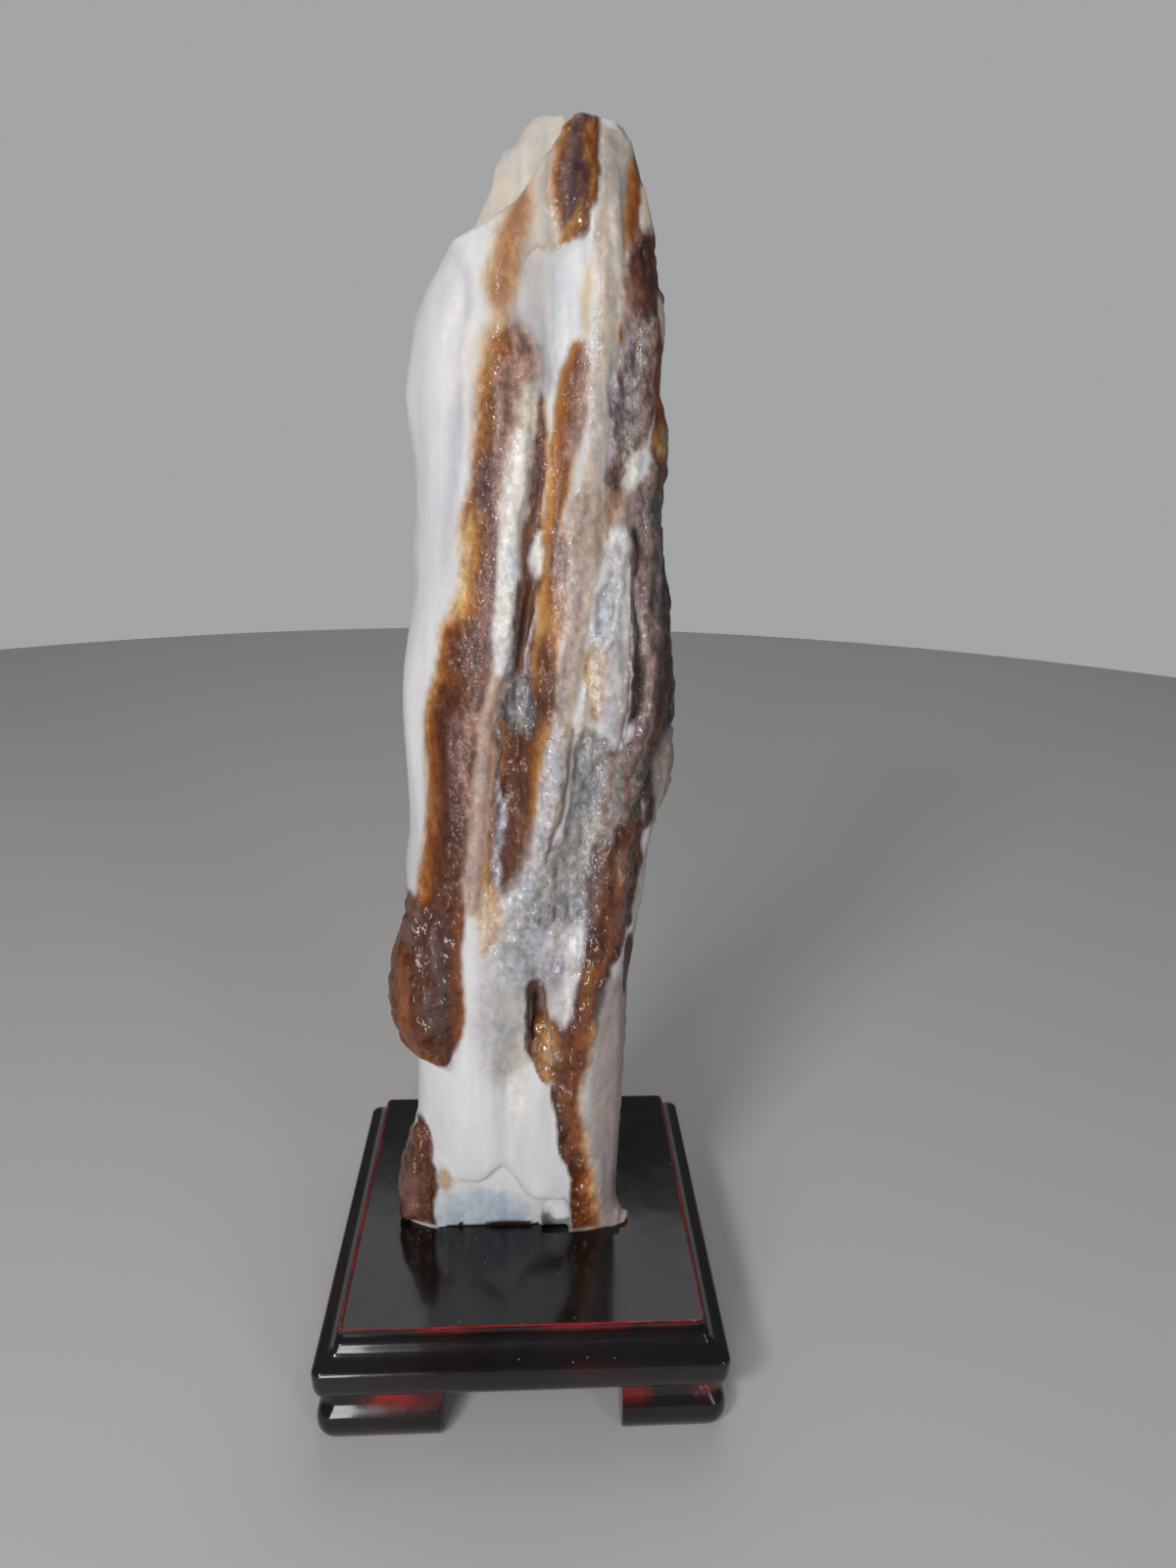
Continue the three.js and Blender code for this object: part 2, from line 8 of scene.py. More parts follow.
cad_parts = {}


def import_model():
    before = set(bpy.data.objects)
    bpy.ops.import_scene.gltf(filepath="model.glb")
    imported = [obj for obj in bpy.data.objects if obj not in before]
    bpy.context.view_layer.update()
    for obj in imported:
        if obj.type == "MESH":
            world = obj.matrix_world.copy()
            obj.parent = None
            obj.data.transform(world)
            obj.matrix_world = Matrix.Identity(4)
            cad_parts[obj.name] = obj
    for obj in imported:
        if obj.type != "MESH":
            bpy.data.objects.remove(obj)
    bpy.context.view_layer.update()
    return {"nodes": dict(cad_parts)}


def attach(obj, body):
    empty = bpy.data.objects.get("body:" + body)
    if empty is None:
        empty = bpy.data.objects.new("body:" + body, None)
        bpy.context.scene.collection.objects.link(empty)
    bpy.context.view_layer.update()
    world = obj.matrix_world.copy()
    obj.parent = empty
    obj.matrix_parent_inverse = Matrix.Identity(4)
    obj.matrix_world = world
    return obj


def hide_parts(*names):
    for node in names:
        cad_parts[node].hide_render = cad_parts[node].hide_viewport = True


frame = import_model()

# ---------------------------------------------------------------- petrified wood
# One upright splinter of wood that has turned to opal and chalcedony: waxy white opal,
# honey to dark brown crusts with a sugary skin, and cool grey chalcedony, running with the
# grain. It is broken from a larger log, left as found, and rests in the board's socket.

CELL = 0.00062              # the mesh's cell across the grain, m
SQUEEZE = 0.60              # height is squeezed by this while meshing, so cells run with the grain
EASING = 0.7                # how far each turn of smoothing moves a point
ARCH_MIDDLE, ARCH_REACH = 9.0, 4.4      # the round-topped hollow beside the foot, mm across
NODULE_X, NODULE_Z = 6.9, 55.4          # middle of the amber nodule, mm
NODULE_WIDTH, NODULE_HEIGHT = 6.6, 11.5     # half its sizes


def placed(name, data):
    """Put a new object in the scene."""
    thing = bpy.data.objects.new(name, data)
    bpy.context.scene.collection.objects.link(thing)
    return thing


def settled(thing):
    """Turn the object's modifiers into a mesh of its own."""
    bpy.context.view_layer.update()
    made = bpy.data.meshes.new_from_object(thing.evaluated_get(bpy.context.evaluated_depsgraph_get()))
    made.name = thing.name
    thing.modifiers.clear()
    thing.data = made
    return made


def points_of(made):
    """The points of a mesh, in mm."""
    points = np.zeros(len(made.vertices) * 3)
    made.vertices.foreach_get("co", points)
    return points.reshape(-1, 3) * 1000.0


def box_of(node):
    """Lowest and highest corner of a piece of the frame, to a tenth of a mm."""
    points = points_of(frame["nodes"][node].data)
    return points.min(axis=0).round(1), points.max(axis=0).round(1)


def move_points(made, points):
    made.vertices.foreach_set("co", (points / 1000.0).ravel())
    made.update()


def smooth_step(low, high, value):
    t = np.clip((value - low) / (high - low), 0.0, 1.0)
    return t * t * (3.0 - 2.0 * t)


def window(value, start, full, end, gone):
    """Rise from 0 to 1 between the first two values and fall back between the last two."""
    return smooth_step(start, full, value) * smooth_step(gone, end, value)


def between(value, low, high):
    return (value > low) & (value < high)


PLATE_TOP = box_of("stand_board")[1][2]     # height of the stand's top, mm
wood_mesh = frame["nodes"]["petrified_wood"].data.copy()
wood_mesh.transform(Matrix.Diagonal((1.0, 1.0, SQUEEZE, 1.0)))
wood = placed("opal_wood", wood_mesh)
remesh = wood.modifiers.new("remesh", "REMESH")
remesh.mode = "VOXEL"
remesh.voxel_size = CELL
soften = wood.modifiers.new("soften", "SMOOTH")
soften.factor = 0.5
soften.iterations = 4
wood_mesh = settled(wood)
wood_mesh.transform(Matrix.Diagonal((1.0, 1.0, 1.0 / SQUEEZE, 1.0)))
count = len(wood_mesh.vertices)
wood_points = points_of(wood_mesh)
wood_points[:, 2] -= PLATE_TOP
x, y, z = wood_points.T     # z is the height above the board from here on


def bring_forward(zone, face, deepest):
    """Fill a zone of the front out to a face, up to the points that lie deepest behind it."""
    filled = zone & (y > face) & (y < deepest)
    y[filled] = np.broadcast_to(face, y.shape)[filled]


def dome(offset):
    return np.sqrt(np.clip(1.0 - offset ** 2, 0.0, 1.0))


# Forms that the plain solid only steps: the pale hollow face above the foot, the arch
# beside it, the amber nodule and the floor of the slit. The chip by the foot lies flatter.
bring_forward(between(x, -24, 5) & (z < 24), face=-11.2 - 0.20 * np.clip(z, 0.0, 12.0), deepest=-9.5)
bring_forward(between(x, 4.4, 12.6) & between(z, 1.2, 12),
              face=-10.4 - 1.8 * dome((x - ARCH_MIDDLE) / ARCH_REACH), deepest=-5.5)
from_nodule = np.hypot((x - NODULE_X) / NODULE_WIDTH, (z - NODULE_Z) / NODULE_HEIGHT)
bring_forward(from_nodule < 1.0, face=-12.0 - 3.6 * dome(from_nodule), deepest=-8.0)
bring_forward(between(x, -4, 9) & between(z, 140, 190), face=-14.6, deepest=-12.2)
z[(x > 26.2) & between(z, 0.0, 6.0)] *= 0.65

# Water has rounded the broad faces but left the sharp breaks; the left flank is smooth,
# and the hollow above the foot and the slit have soft edges.
edge_ends = np.zeros(len(wood_mesh.edges) * 2, int)
wood_mesh.edges.foreach_get("vertices", edge_ends)
first, second = edge_ends.reshape(-1, 2).T
neighbours = np.bincount(edge_ends, minlength=count)


def relaxed(points, turns):
    """The points after each has moved towards the middle of its neighbours so many times."""
    points = points.copy()
    for turn in range(turns):
        for axis in range(3):
            total = np.bincount(first, points[second, axis], count)
            total += np.bincount(second, points[first, axis], count)
            points[:, axis] += EASING * (total / neighbours - points[:, axis])
    return points


softened = relaxed(wood_points, 26)
calm = smooth_step(0.75, 0.35, np.linalg.norm(softened - wood_points, axis=1))
hollow = window(x, -27, -24, 6, 9) * window(z, -1, 1, 22, 26)
slit = window(x, -8, -4, 9, 13) * window(z, 136, 142, 188, 194)
flank = smooth_step(-5.0, -10.0, x) * window(z, 150, 175, 232, 244) * (y < 6)
amount = np.maximum(calm, np.maximum(hollow, 0.8 * slit) * (y < 0))
wood_points += (softened - wood_points) * amount[:, None]
y += (relaxed(wood_points, 150)[:, 1] - y) * flank
move_points(wood_mesh, wood_points + (0.0, 0.0, PLATE_TOP))
facing = np.zeros(count * 3)
wood_mesh.vertex_normals.foreach_get("vector", facing)
facing = facing.reshape(-1, 3)

LATTICE = 48                # random values along each side of a block, which then repeats


def clouds(cell, seed, spots=wood_points):
    """Smooth unevenness from -1 to 1, with cells of so many mm along x, y and z."""
    lattice = np.random.RandomState(seed).uniform(-1.0, 1.0, (LATTICE,) * 3)
    scaled = spots / np.array(cell) + 500.0
    low = np.floor(scaled).astype(int)
    part = scaled - low
    part = part * part * (3.0 - 2.0 * part)
    total = np.zeros(len(scaled))
    for corner in range(8):
        step = np.array([corner & 1, corner >> 1 & 1, corner >> 2 & 1])
        weight = np.prod(np.where(step, part, 1.0 - part), axis=1)
        total += weight * lattice[tuple(((low + step) % LATTICE).T)]
    return total


def shade(red, green, blue):
    """A colour given as it looks on a screen, 0 to 255, turned into light values."""
    value = np.array([red, green, blue]) / 255.0
    return np.where(value < 0.04045, value / 12.92, ((value + 0.055) / 1.055) ** 2.4)


WHITE = shade(220, 218, 217)
COOL = shade(204, 205, 210)
LAVENDER = shade(184, 178, 186)
SKY = shade(174, 190, 203)
CREAM = shade(206, 195, 180)
OYSTER = shade(188, 180, 170)
BEIGE = shade(178, 161, 146)
PINK = shade(168, 136, 122)
STRAW = shade(200, 172, 124)
HONEY = shade(182, 136, 84)
AMBER = shade(152, 98, 46)
RUST = shade(128, 68, 30)
COPPER = shade(98, 50, 18)
EMBER = shade(72, 32, 8)
BROWN = shade(112, 72, 46)
MAROON = shade(86, 50, 38)
UMBER = shade(50, 33, 25)
MAUVE = shade(114, 86, 80)
PLUM = shade(84, 57, 58)
GREY = shade(145, 143, 143)
TAUPE = shade(134, 113, 108)
SLATE = shade(88, 79, 77)

# Which way each point faces, and unevenness of several sizes that all the bands share.
front = smooth_step(-0.15, 0.30, -facing[:, 1])
back = smooth_step(-0.10, 0.30, facing[:, 1])
around = np.maximum(front, smooth_step(9.0, 3.0, y))
away = 1.0 - front
streaks = clouds((1.3, 1.3, 15), 11)
patches = clouds((3, 3, 6), 12)
crumbs = clouds((1.1, 1.1, 1.5), 13)
glow = clouds((4, 4, 9), 16)
lumps = clouds((2.4, 2.4, 3.2), 14)

# The bands wander a little, and far more on the sides and the back.
band_x = x + 0.45 * clouds((3, 3, 5), 1) + 0.25 * clouds((1.2, 1.2, 1.9), 2)
band_x += away * (2.4 * clouds((9, 9, 24), 4) + 1.1 * clouds((3.5, 3.5, 9), 5))
band_z = z + 0.9 * clouds((2.5, 2.5, 4), 3) + 11.0 * away * clouds((6, 4, 16), 6)

# The white opal itself drifts between warm and cool, with faint milky streaks.
drift = smooth_step(-0.7, 0.7, clouds((13, 13, 34), 15) + 0.25 * streaks)
veils = np.minimum(clouds((4, 4, 15), 17), 0.3)
tint = WHITE + (COOL - WHITE) * (0.55 * drift)[:, None]
tint *= (1.0 + 0.03 * streaks + 0.03 * patches + 0.06 * veils)[:, None]
druse, gloss, lift = np.zeros(count), np.zeros(count), np.zeros(count)


def paint(rows, colours, blur=1.2, sugar=0.0, step=0.0, swell=0.0, polish=0.0, side=front, cover=1.0,
          beyond=(0.0, 0.0)):
    """Lay one band. Rows are height, left x and right x; colours run from left to right.
    Blur is the softness of both edges or of each, step and swell how far the band stands
    proud, and beyond how far it carries on past the edges of the face, all in mm."""
    heights, lefts, rights = np.array(sorted(rows)).T
    left, right = np.interp(band_z, heights, lefts), np.interp(band_z, heights, rights)
    from_left, from_right = band_x - left + beyond[0], right - band_x + beyond[1]
    blur_left, blur_right = np.broadcast_to(blur, 2)
    fade = 1.6 * max(blur_left, blur_right)
    zone = smooth_step(-fade, fade, band_z - heights[0]) * smooth_step(-fade, fade, heights[-1] - band_z)
    zone = zone * side

    def inside(ramp_up):
        both = smooth_step(-blur_left, blur_left + ramp_up, from_left)
        return both * smooth_step(-blur_right, blur_right + ramp_up, from_right) * zone

    across = np.clip((band_x - left) / np.maximum(right - left, 0.5), 0.0, 1.0)
    reading = np.clip(across + 0.10 * streaks + 0.10 * patches + 0.05 * crumbs, 0.0, 1.0)
    stops = np.linspace(0.0, 1.0, len(colours))
    laid = np.stack([np.interp(reading, stops, channel) for channel in np.transpose(colours)], 1)
    laid *= (1.0 + 0.10 * streaks + 0.08 * patches + 0.06 * crumbs)[:, None]
    laid *= 1.0 + 0.16 * glow[:, None] * (1.0, 0.7, 0.1)
    amount = inside(0.0) * cover
    tint[:] += (laid - tint) * amount[:, None]
    druse[:] += (sugar - druse) * amount
    gloss[:] += (polish - gloss) * amount
    pillow = np.clip(1.0 - (2.0 * across - 1.0) ** 2, 0.0, 1.0)
    lift[:] += step * inside(0.4) + swell * pillow * zone


def groove(line, width, depth, colour, cover=0.8):
    """A crack or sharp furrow along a line, which is given by height and x."""
    nearest = np.full(count, 1e9)
    for (az, ax), (bz, bx) in zip(line, line[1:]):
        dx, dz = bx - ax, bz - az
        t = np.clip(((band_x - ax) * dx + (z - az) * dz) / (dx * dx + dz * dz), 0.0, 1.0)
        nearest = np.minimum(nearest, np.hypot(band_x - ax - t * dx, z - az - t * dz))
    amount = smooth_step(width, 0.25 * width, nearest) * front
    tint[:] += (colour - tint) * (amount * cover)[:, None]
    lift[:] -= depth * amount


# Left flank: smooth white with a hollow down its right side, where lilac painted shade lies.
paint([(240, -16, -11), (234, -13.5, -9), (217, -15, -10.5), (208, -16.5, -10.5), (178, -20, -14.5)],
      (WHITE, LAVENDER, WHITE), blur=(3.4, 3.2), cover=0.75)

# Crown, first the flake that stands behind it.
leaning = z + away * (7.0 * clouds((7, 7, 20), 30) - 0.4 * x)
behind = smooth_step(-4.6, -3.4, y) * smooth_step(232, 237, leaning)
ahead = front * (1.0 - behind)
ahead_around = around * (1.0 - behind)
paint([(229, -18, 16), (268, -18, 16)], (CREAM,), blur=0.7, side=behind, cover=0.8)

# Cream strip and honey patch left of the crown, and the fluted ridge down its right.
paint([(262, 6.8, 7.8), (257.5, 2.4, 5.2), (252, 1, 5), (247, 1.5, 5), (239, 1, 6.5)],
      (CREAM, CREAM, OYSTER, BEIGE), blur=(0.8, 0.6), step=0.1, side=ahead)
paint([(253, 0.2, 1.6), (250, -2, 1.5), (248, -3.5, 2), (236, -8, 0), (232, -8, -1), (229, -7, -1.5),
       (227, -6, -3)], (STRAW, HONEY, AMBER, AMBER, HONEY, HONEY), blur=2.0, sugar=0.3, swell=0.4,
      side=ahead, cover=0.9)
paint([(264, 13.5, 18), (262, 14.5, 22), (252, 15, 20.5), (248, 14.5, 20), (243, 13.5, 20),
       (232, 14.5, 21), (225, 14, 21), (218, 13.5, 18), (210, 13, 17), (203, 12.5, 17), (195, 11, 17),
       (181, 10, 17.5)], (OYSTER, BEIGE, BEIGE, OYSTER, CREAM, BEIGE), blur=(1.4, 1.1), sugar=0.3,
      swell=0.5, polish=0.12, cover=0.9)

# Crown: a brown crust in an amber frame, its broken facet with a crack, and its tip.
paint([(239.5, 6.8, 8), (245, 6, 12.5), (247, 5.5, 13), (249, 5, 14.5), (252, 5, 15), (259, 6, 14.5),
       (262, 7, 14.5), (264, 9, 14.5), (271, 7, 20.6)],
      (HONEY, AMBER, BROWN, MAUVE, PLUM, PLUM, BROWN, AMBER, RUST, BROWN), blur=(1.4, 0.5), sugar=0.6,
      step=0.45, side=ahead_around)
paint([(248.5, 11.2, 12.4), (243, 7, 12), (242, 7.2, 9.6)], (HONEY, AMBER, RUST), blur=(0.4, 0.3),
      step=-0.6, polish=0.5)
groove([(248.5, 12.4), (244.5, 12.6), (243, 11.8), (242, 9.6), (243, 7.6)], 0.6, 0.6, MAROON)
paint([(243, 7, 10), (241.5, 6.5, 9.5), (239.5, 6.8, 8)], (STRAW, AMBER, HONEY), blur=0.6, polish=0.4)

# White scoop under the crown, with its grey and lilac shadows and fine cracks.
paint([(243, 10.4, 13), (240, 7, 13), (238, 6, 13), (224, 5.5, 11), (221, 5, 9), (217.5, 5, 7.4),
       (210.5, 4.6, 5.4)], (WHITE,), blur=(0.25, 0.6), swell=-0.4, polish=0.05)
paint([(239, 0, 6.5), (228, 0, 6), (219.5, 3.4, 5), (214, 3.8, 5)], (LAVENDER, BEIGE, COOL),
      blur=(1.2, 0.9), swell=-0.3, cover=0.6)
paint([(229.5, 0.2, 2.6), (227, -1, 3.5), (224, -0.5, 4.5), (216.5, 3.4, 5)], (BEIGE, LAVENDER, LAVENDER),
      cover=0.6)
groove([(239, 0.6), (241, 2.2), (240, 3.6), (242, 5.2), (241, 6.4)], 0.5, 0.4, BEIGE)
groove([(237.5, 6), (230.5, 5.6), (223, 5.4), (214, 5)], 0.4, 0.25, LAVENDER, 0.5)

# Right shoulder: amber, cream, then dark sugary crust with a pale rim.
paint([(261.5, 21.8, 22.8), (255, 20.5, 24), (251, 20, 24), (248.5, 20, 22.8), (246, 19.5, 23),
       (241, 20, 25)], (HONEY, AMBER, RUST, BROWN), blur=(0.9, 0.5), sugar=0.2, polish=0.4, side=around)
paint([(253.5, 23.2, 24.4), (247.5, 23, 25.6), (241, 24.8, 26.8)], (BEIGE, CREAM, BEIGE), blur=0.4,
      step=0.5, side=around)
paint([(244.5, 22.2, 24.8), (239, 20, 26.5), (232, 20, 28.5), (222, 21, 27.5)],
      (PINK, MAUVE, MAROON, UMBER, MAROON), blur=(1.2, 0.8), sugar=0.7, polish=0.5, side=around,
      beyond=(0, 4))
paint([(234, 27.6, 29.2), (231, 27, 30.5), (223, 28.6, 30.2)], (BEIGE, CREAM, BEIGE), blur=(0.5, 0.6),
      side=around, beyond=(0, 3))

# Right side above: a hollow full of dark sugary druse with an amber rim.
paint([(229, 22.5, 27), (224, 21, 27), (216, 18, 27.5), (212, 17, 27.5), (205, 17, 26), (202, 17.5, 25),
       (199, 18, 21.5), (196, 18.4, 20.4)], (LAVENDER, TAUPE, GREY, TAUPE, MAUVE), blur=(1.2, 0.4),
      sugar=1.0, polish=0.35, side=around)
paint([(227, 18.8, 19.6), (225, 18.4, 19.6), (223, 19, 19.8)], (HONEY, AMBER, BROWN), blur=(0.5, 0.4),
      polish=0.5)
paint([(224, 27, 29.2), (211, 27.5, 31), (203, 26.5, 32), (200, 27, 31.5), (197, 28.5, 31.5),
       (190.5, 30.4, 31.6)], (MAROON, RUST, MAROON), blur=(0.4, 1.0), sugar=0.25, polish=0.7, side=around,
      beyond=(0, 6))
paint([(208, 27.5, 30.5), (203, 26.5, 31.5), (202, 27, 31)], (BROWN, AMBER, STRAW, AMBER), blur=0.8,
      polish=0.9, swell=0.4, side=around, beyond=(0, 3))

# Below it a tan diagonal, a white knot and two small spots.
paint([(197.5, 24.4, 26.8), (192, 20, 25), (186, 18, 23)], (BEIGE, BROWN, MAUVE), blur=1.0, sugar=0.35,
      cover=0.8)
paint([(204, 23.5, 26.5), (200, 21, 25), (196, 22.2, 24)], (CREAM, WHITE, COOL), blur=0.9, step=0.3,
      sugar=0.35)
paint([(201, 17.2, 19), (199, 17, 20.5), (194, 17, 21.5)], (MAUVE, PLUM, MAUVE), blur=(0.8, 1.0),
      sugar=0.8)
paint([(195, 17, 21.5), (193, 16.5, 21.5), (190, 16.5, 19.5), (184.5, 17.6, 18.4)], (PINK, BROWN, AMBER),
      blur=(0.9, 1.0), sugar=0.5, cover=0.85)

# Left brown band, from its milky hood down to the hanging lobe.
paint([(230, -5, -0.5), (225, -9.5, 3), (222, -10.5, 4), (219, -10, 4.5), (212, -9.5, 4)],
      (CREAM, STRAW, BEIGE, LAVENDER, COOL), blur=1.8, cover=0.75)
paint([(227, -5, 0), (222, -7.5, 3), (217, -9.5, 3.5), (215, -9.5, 2.5), (212, -9.5, 0), (206, -10, -2),
       (197, -11, -3.5), (191, -13, -4.5), (185, -13.5, -5)],
      (HONEY, AMBER, BROWN, PINK, MAUVE, PINK, BEIGE), blur=1.9, sugar=0.6, step=0.2)
paint([(220, -4, 1), (217, -6, 0), (215, -6.5, -1), (206, -4.4, -2)], (PINK, MAUVE, PINK),
      blur=(1.2, 1.1), sugar=0.8, cover=0.85)
paint([(214.5, -0.4, 1.8), (212, -1.5, 2), (204, -1.6, 1.2), (197, -3, 0.5)], (BEIGE, CREAM, BEIGE),
      blur=0.9, sugar=0.45, step=0.1)
paint([(200, -9, -5), (197, -10, -4), (192, -10.5, -5), (189, -9.5, -6)], (MAUVE, PLUM, PINK), sugar=0.8,
      cover=0.75)

# On its way down the band darkens from straw to copper, with mauve sugary patches.
paint([(189, -13, -4.5), (173, -14.5, -6), (167, -17.5, -7), (164, -18.5, -7)],
      (STRAW, STRAW, HONEY, AMBER, MAUVE, MAUVE, PINK), blur=(1.9, 1.0), sugar=0.55, step=0.3)
paint([(167, -17.5, -7), (154, -20.5, -6.5), (152, -21, -8.5), (145, -23, -9), (125, -22.5, -12),
       (98, -26.5, -14)], (HONEY, AMBER, RUST, COPPER, MAROON, COPPER, BROWN, PINK), blur=(1.2, 0.9),
      sugar=0.55, step=0.4, side=around)
paint([(189, -9, -5.5), (183, -8.5, -5), (177, -9, -5.5), (170, -10.5, -6.5), (166, -12.5, -6.5),
       (164, -14.5, -7), (160, -16.5, -7), (158, -16.5, -7), (155, -14, -7), (146, -12.5, -9.5)],
      (BROWN, MAUVE, MAUVE), blur=(1.3, 0.9), sugar=0.9, cover=0.8)
paint([(153, -18, -14), (148, -20, -15.5), (144, -20.5, -16), (140, -19.5, -15), (135, -18.5, -13.5),
       (101, -19.5, -14.5)], (EMBER, MAROON, EMBER), blur=1.4, sugar=0.5, polish=0.4, cover=0.8)
paint([(147, -16, -12), (143, -16.5, -11.5), (139, -16.5, -12), (133, -16, -12.5), (128, -14.4, -11.6),
       (122.5, -14, -11.8), (119, -14.5, -11.5), (115.5, -13.8, -12)], (MAUVE, MAUVE, PINK),
      blur=(1.0, 0.8), sugar=0.9, cover=0.8)

# Hanging lobe: wet copper and maroon, with darker and greyer hollows and glossy raised bumps whose
# lighter mauve middles are painted highlight.
paint([(100, -26.5, -14), (91, -30.5, -14.5), (86, -32, -15), (67, -32, -15), (63, -30, -15.5),
       (60, -27, -16.5), (58, -24, -17), (54.5, -20.4, -19.2)],
      (COPPER, RUST, EMBER, EMBER, MAROON, EMBER, COPPER, RUST), blur=(0.6, 0.7), sugar=0.1, step=0.3,
      polish=0.9, side=around, beyond=(6, 0))
paint([(89.5, -26.2, -23.2), (83, -27.5, -23), (79.5, -26.4, -23.6), (69, -28, -23), (64, -28, -19.5),
       (60, -25, -19)], (EMBER, COPPER, UMBER), sugar=0.2, polish=0.9, cover=0.7)
paint([(85, -22.5, -18), (79, -23, -17.5), (74, -24.5, -17.5), (68, -24.5, -18), (65, -23, -19.5)],
      (MAROON, SLATE, MAROON), blur=1.6, sugar=0.3, swell=0.3, polish=0.9, cover=0.55)
# Raised glossy bumps; the lighter mauve in their middle is painted highlight.
for rows in (
    [(98, -26.5, -23.5), (95, -28, -24), (92, -29, -25), (88.5, -28.8, -26.2)],
    [(94.5, -22.8, -20.8), (86, -23.5, -20), (82, -22.6, -21.2)],
    [(78, -25.5, -22), (70, -25, -21.5), (66.5, -24, -22)],
):
    paint(rows, (MAROON, MAUVE, COPPER), blur=1.1, sugar=0.4, step=0.3, polish=1.0, cover=0.8)
groove([(94, -23.2), (90, -23.8), (86, -23.4)], 0.5, 0.6, UMBER)

# Inner brown stripe with its mauve top, and the cream ridge that turns pink lower down.
paint([(213.5, 2.6, 4.2), (206, 2, 5), (199, 1, 5), (195, 0.5, 4.5), (191, 0.5, 3.5), (185, -1, 5),
       (181, -1.5, 5), (170, -1, 5.5), (162, -2, 6), (151, -3, 4.5)], (BEIGE, BROWN, MAUVE, BROWN, HONEY),
      blur=0.9, sugar=0.6)
paint([(206, -1.5, 1.5), (183, -5, -1), (175, -5.5, -0.5), (166, -6.5, -2), (157.5, -6, -3.6),
       (153.5, -7.4, -4.8)], (WHITE, WHITE, WHITE, COOL), blur=(1.1, 0.9), sugar=0.35, step=0.2,
      swell=0.5)
paint([(156, -7, -4), (145, -10, -6.5), (126, -12, -8), (97, -14, -10.5)], (PINK, BEIGE, PINK, PINK),
      blur=(0.8, 0.7), sugar=0.3, step=0.1, swell=0.4, cover=0.95)
paint([(206.5, 2.2, 4), (199, 1, 4.5), (191, 0.8, 2.8)], (MAUVE, PLUM, BROWN), blur=(0.9, 0.8), sugar=0.8,
      cover=0.85)

# Middle band: a cream streak, then honey, rust and brown with pink and mauve patches.
paint([(239.5, 13, 13.8), (232.5, 11.2, 14), (225, 11.2, 13.2)], (CREAM, STRAW, CREAM), blur=1.1,
      cover=0.8)
paint([(206, 5.5, 11.5), (201, 5, 10.5), (193, 4.5, 9.5), (189, 4, 8.5), (180, 4.4, 7.2), (168, 2.5, 8),
       (156, 2, 7.5), (151, 2, 6.5), (141.5, 3.8, 5.6)], (HONEY, HONEY, AMBER, BROWN, HONEY),
      blur=(0.9, 1.0), sugar=0.45, step=0.2)
paint([(224, 10.8, 12.8), (222, 9, 13), (216, 6.5, 13.5), (208, 6, 12.5), (201, 5, 10.5)],
      (HONEY, AMBER, RUST, PINK, PINK), blur=(0.7, 1.0), sugar=0.35, step=0.3, polish=0.4)
paint([(221, 10.8, 12.8), (214, 9, 13), (206, 8, 11.5)], (BROWN, PINK, PINK), blur=(1.0, 0.9), sugar=0.8,
      cover=0.8)
paint([(188, 6.5, 10), (179, 5.5, 10), (168.5, 7.4, 9.6), (164.5, 7.4, 9.6)], (MAUVE, PINK, PINK),
      blur=(1.0, 1.1), sugar=0.8, cover=0.85)
paint([(165, 3, 6.5), (156, 2.5, 8), (152, 2, 7), (149, 2.5, 6)], (BROWN, MAROON, BROWN), blur=(1.1, 1.0),
      sugar=0.6, polish=0.3, cover=0.85)

# Slit: grey druse on its rim, a honey bump, the dark bottom and its pale edge. Then the
# white oval above it and the beige ridge beside it.
paint([(176.5, -2.2, -0.2), (164, -3.2, -0.6), (157.5, -3.6, -1.6), (153, -5, -2)], (GREY, SLATE, PLUM),
      blur=(0.9, 0.5), sugar=0.9, cover=0.9)
paint([(173, 2.4, 5.2), (166, 2.5, 6), (164, 3, 6)], (STRAW, HONEY, HONEY), blur=(0.7, 1.2), step=0.2,
      polish=0.6, cover=0.7)
paint([(175.5, 0.8, 2.4), (159.5, -1.6, 0.8), (156, -2, -0.2)], (UMBER, MAROON, BROWN), blur=(0.5, 0.4),
      step=-0.5, polish=0.3, cover=0.9)
groove([(170.5, 2.8), (167, 2), (163.5, 1.2), (159, 0.8), (155.5, 0.4)], 0.55, -0.4, LAVENDER, 0.7)
paint([(186.5, 3.2, 4), (181, 1, 4.5), (178, 1.2, 3.6), (176, 2, 3.2)], (COOL, WHITE, CREAM), blur=0.6,
      step=0.3, sugar=0.35)
paint([(195, 10, 15.5), (189, 9.5, 17), (183, 10, 17), (175, 10, 15), (167, 9.5, 14), (143, 5, 10.5)],
      (BEIGE, TAUPE, BEIGE, BEIGE), blur=(1.0, 1.3), sugar=0.4, swell=0.4, cover=0.9)

# Middle right: blue-white ridge, cream inclusion, pale lump and thin bright rim.
paint([(166, 17.5, 21.5), (160, 18, 22.5), (154, 17.5, 23), (147, 18, 22.5), (141, 18, 21.5)],
      (OYSTER, LAVENDER, OYSTER, GREY, BEIGE), blur=(1.3, 1.0), sugar=0.35, polish=0.5, cover=0.9)
paint([(188, 18.5, 22), (185, 17.5, 22.5), (177, 17.5, 21.5), (174, 15.5, 21.5), (165, 14, 21),
       (162, 13.5, 18.5)], (GREY, COOL, COOL, COOL, GREY), blur=(1.0, 0.9), sugar=0.5, step=0.2,
      swell=0.3, polish=0.8)
paint([(163, 14.5, 17.5), (161, 13.5, 18), (158, 12.5, 18), (155, 12.5, 18), (152, 14, 18)],
      (STRAW, CREAM, BEIGE), blur=(0.7, 0.9), sugar=0.5)
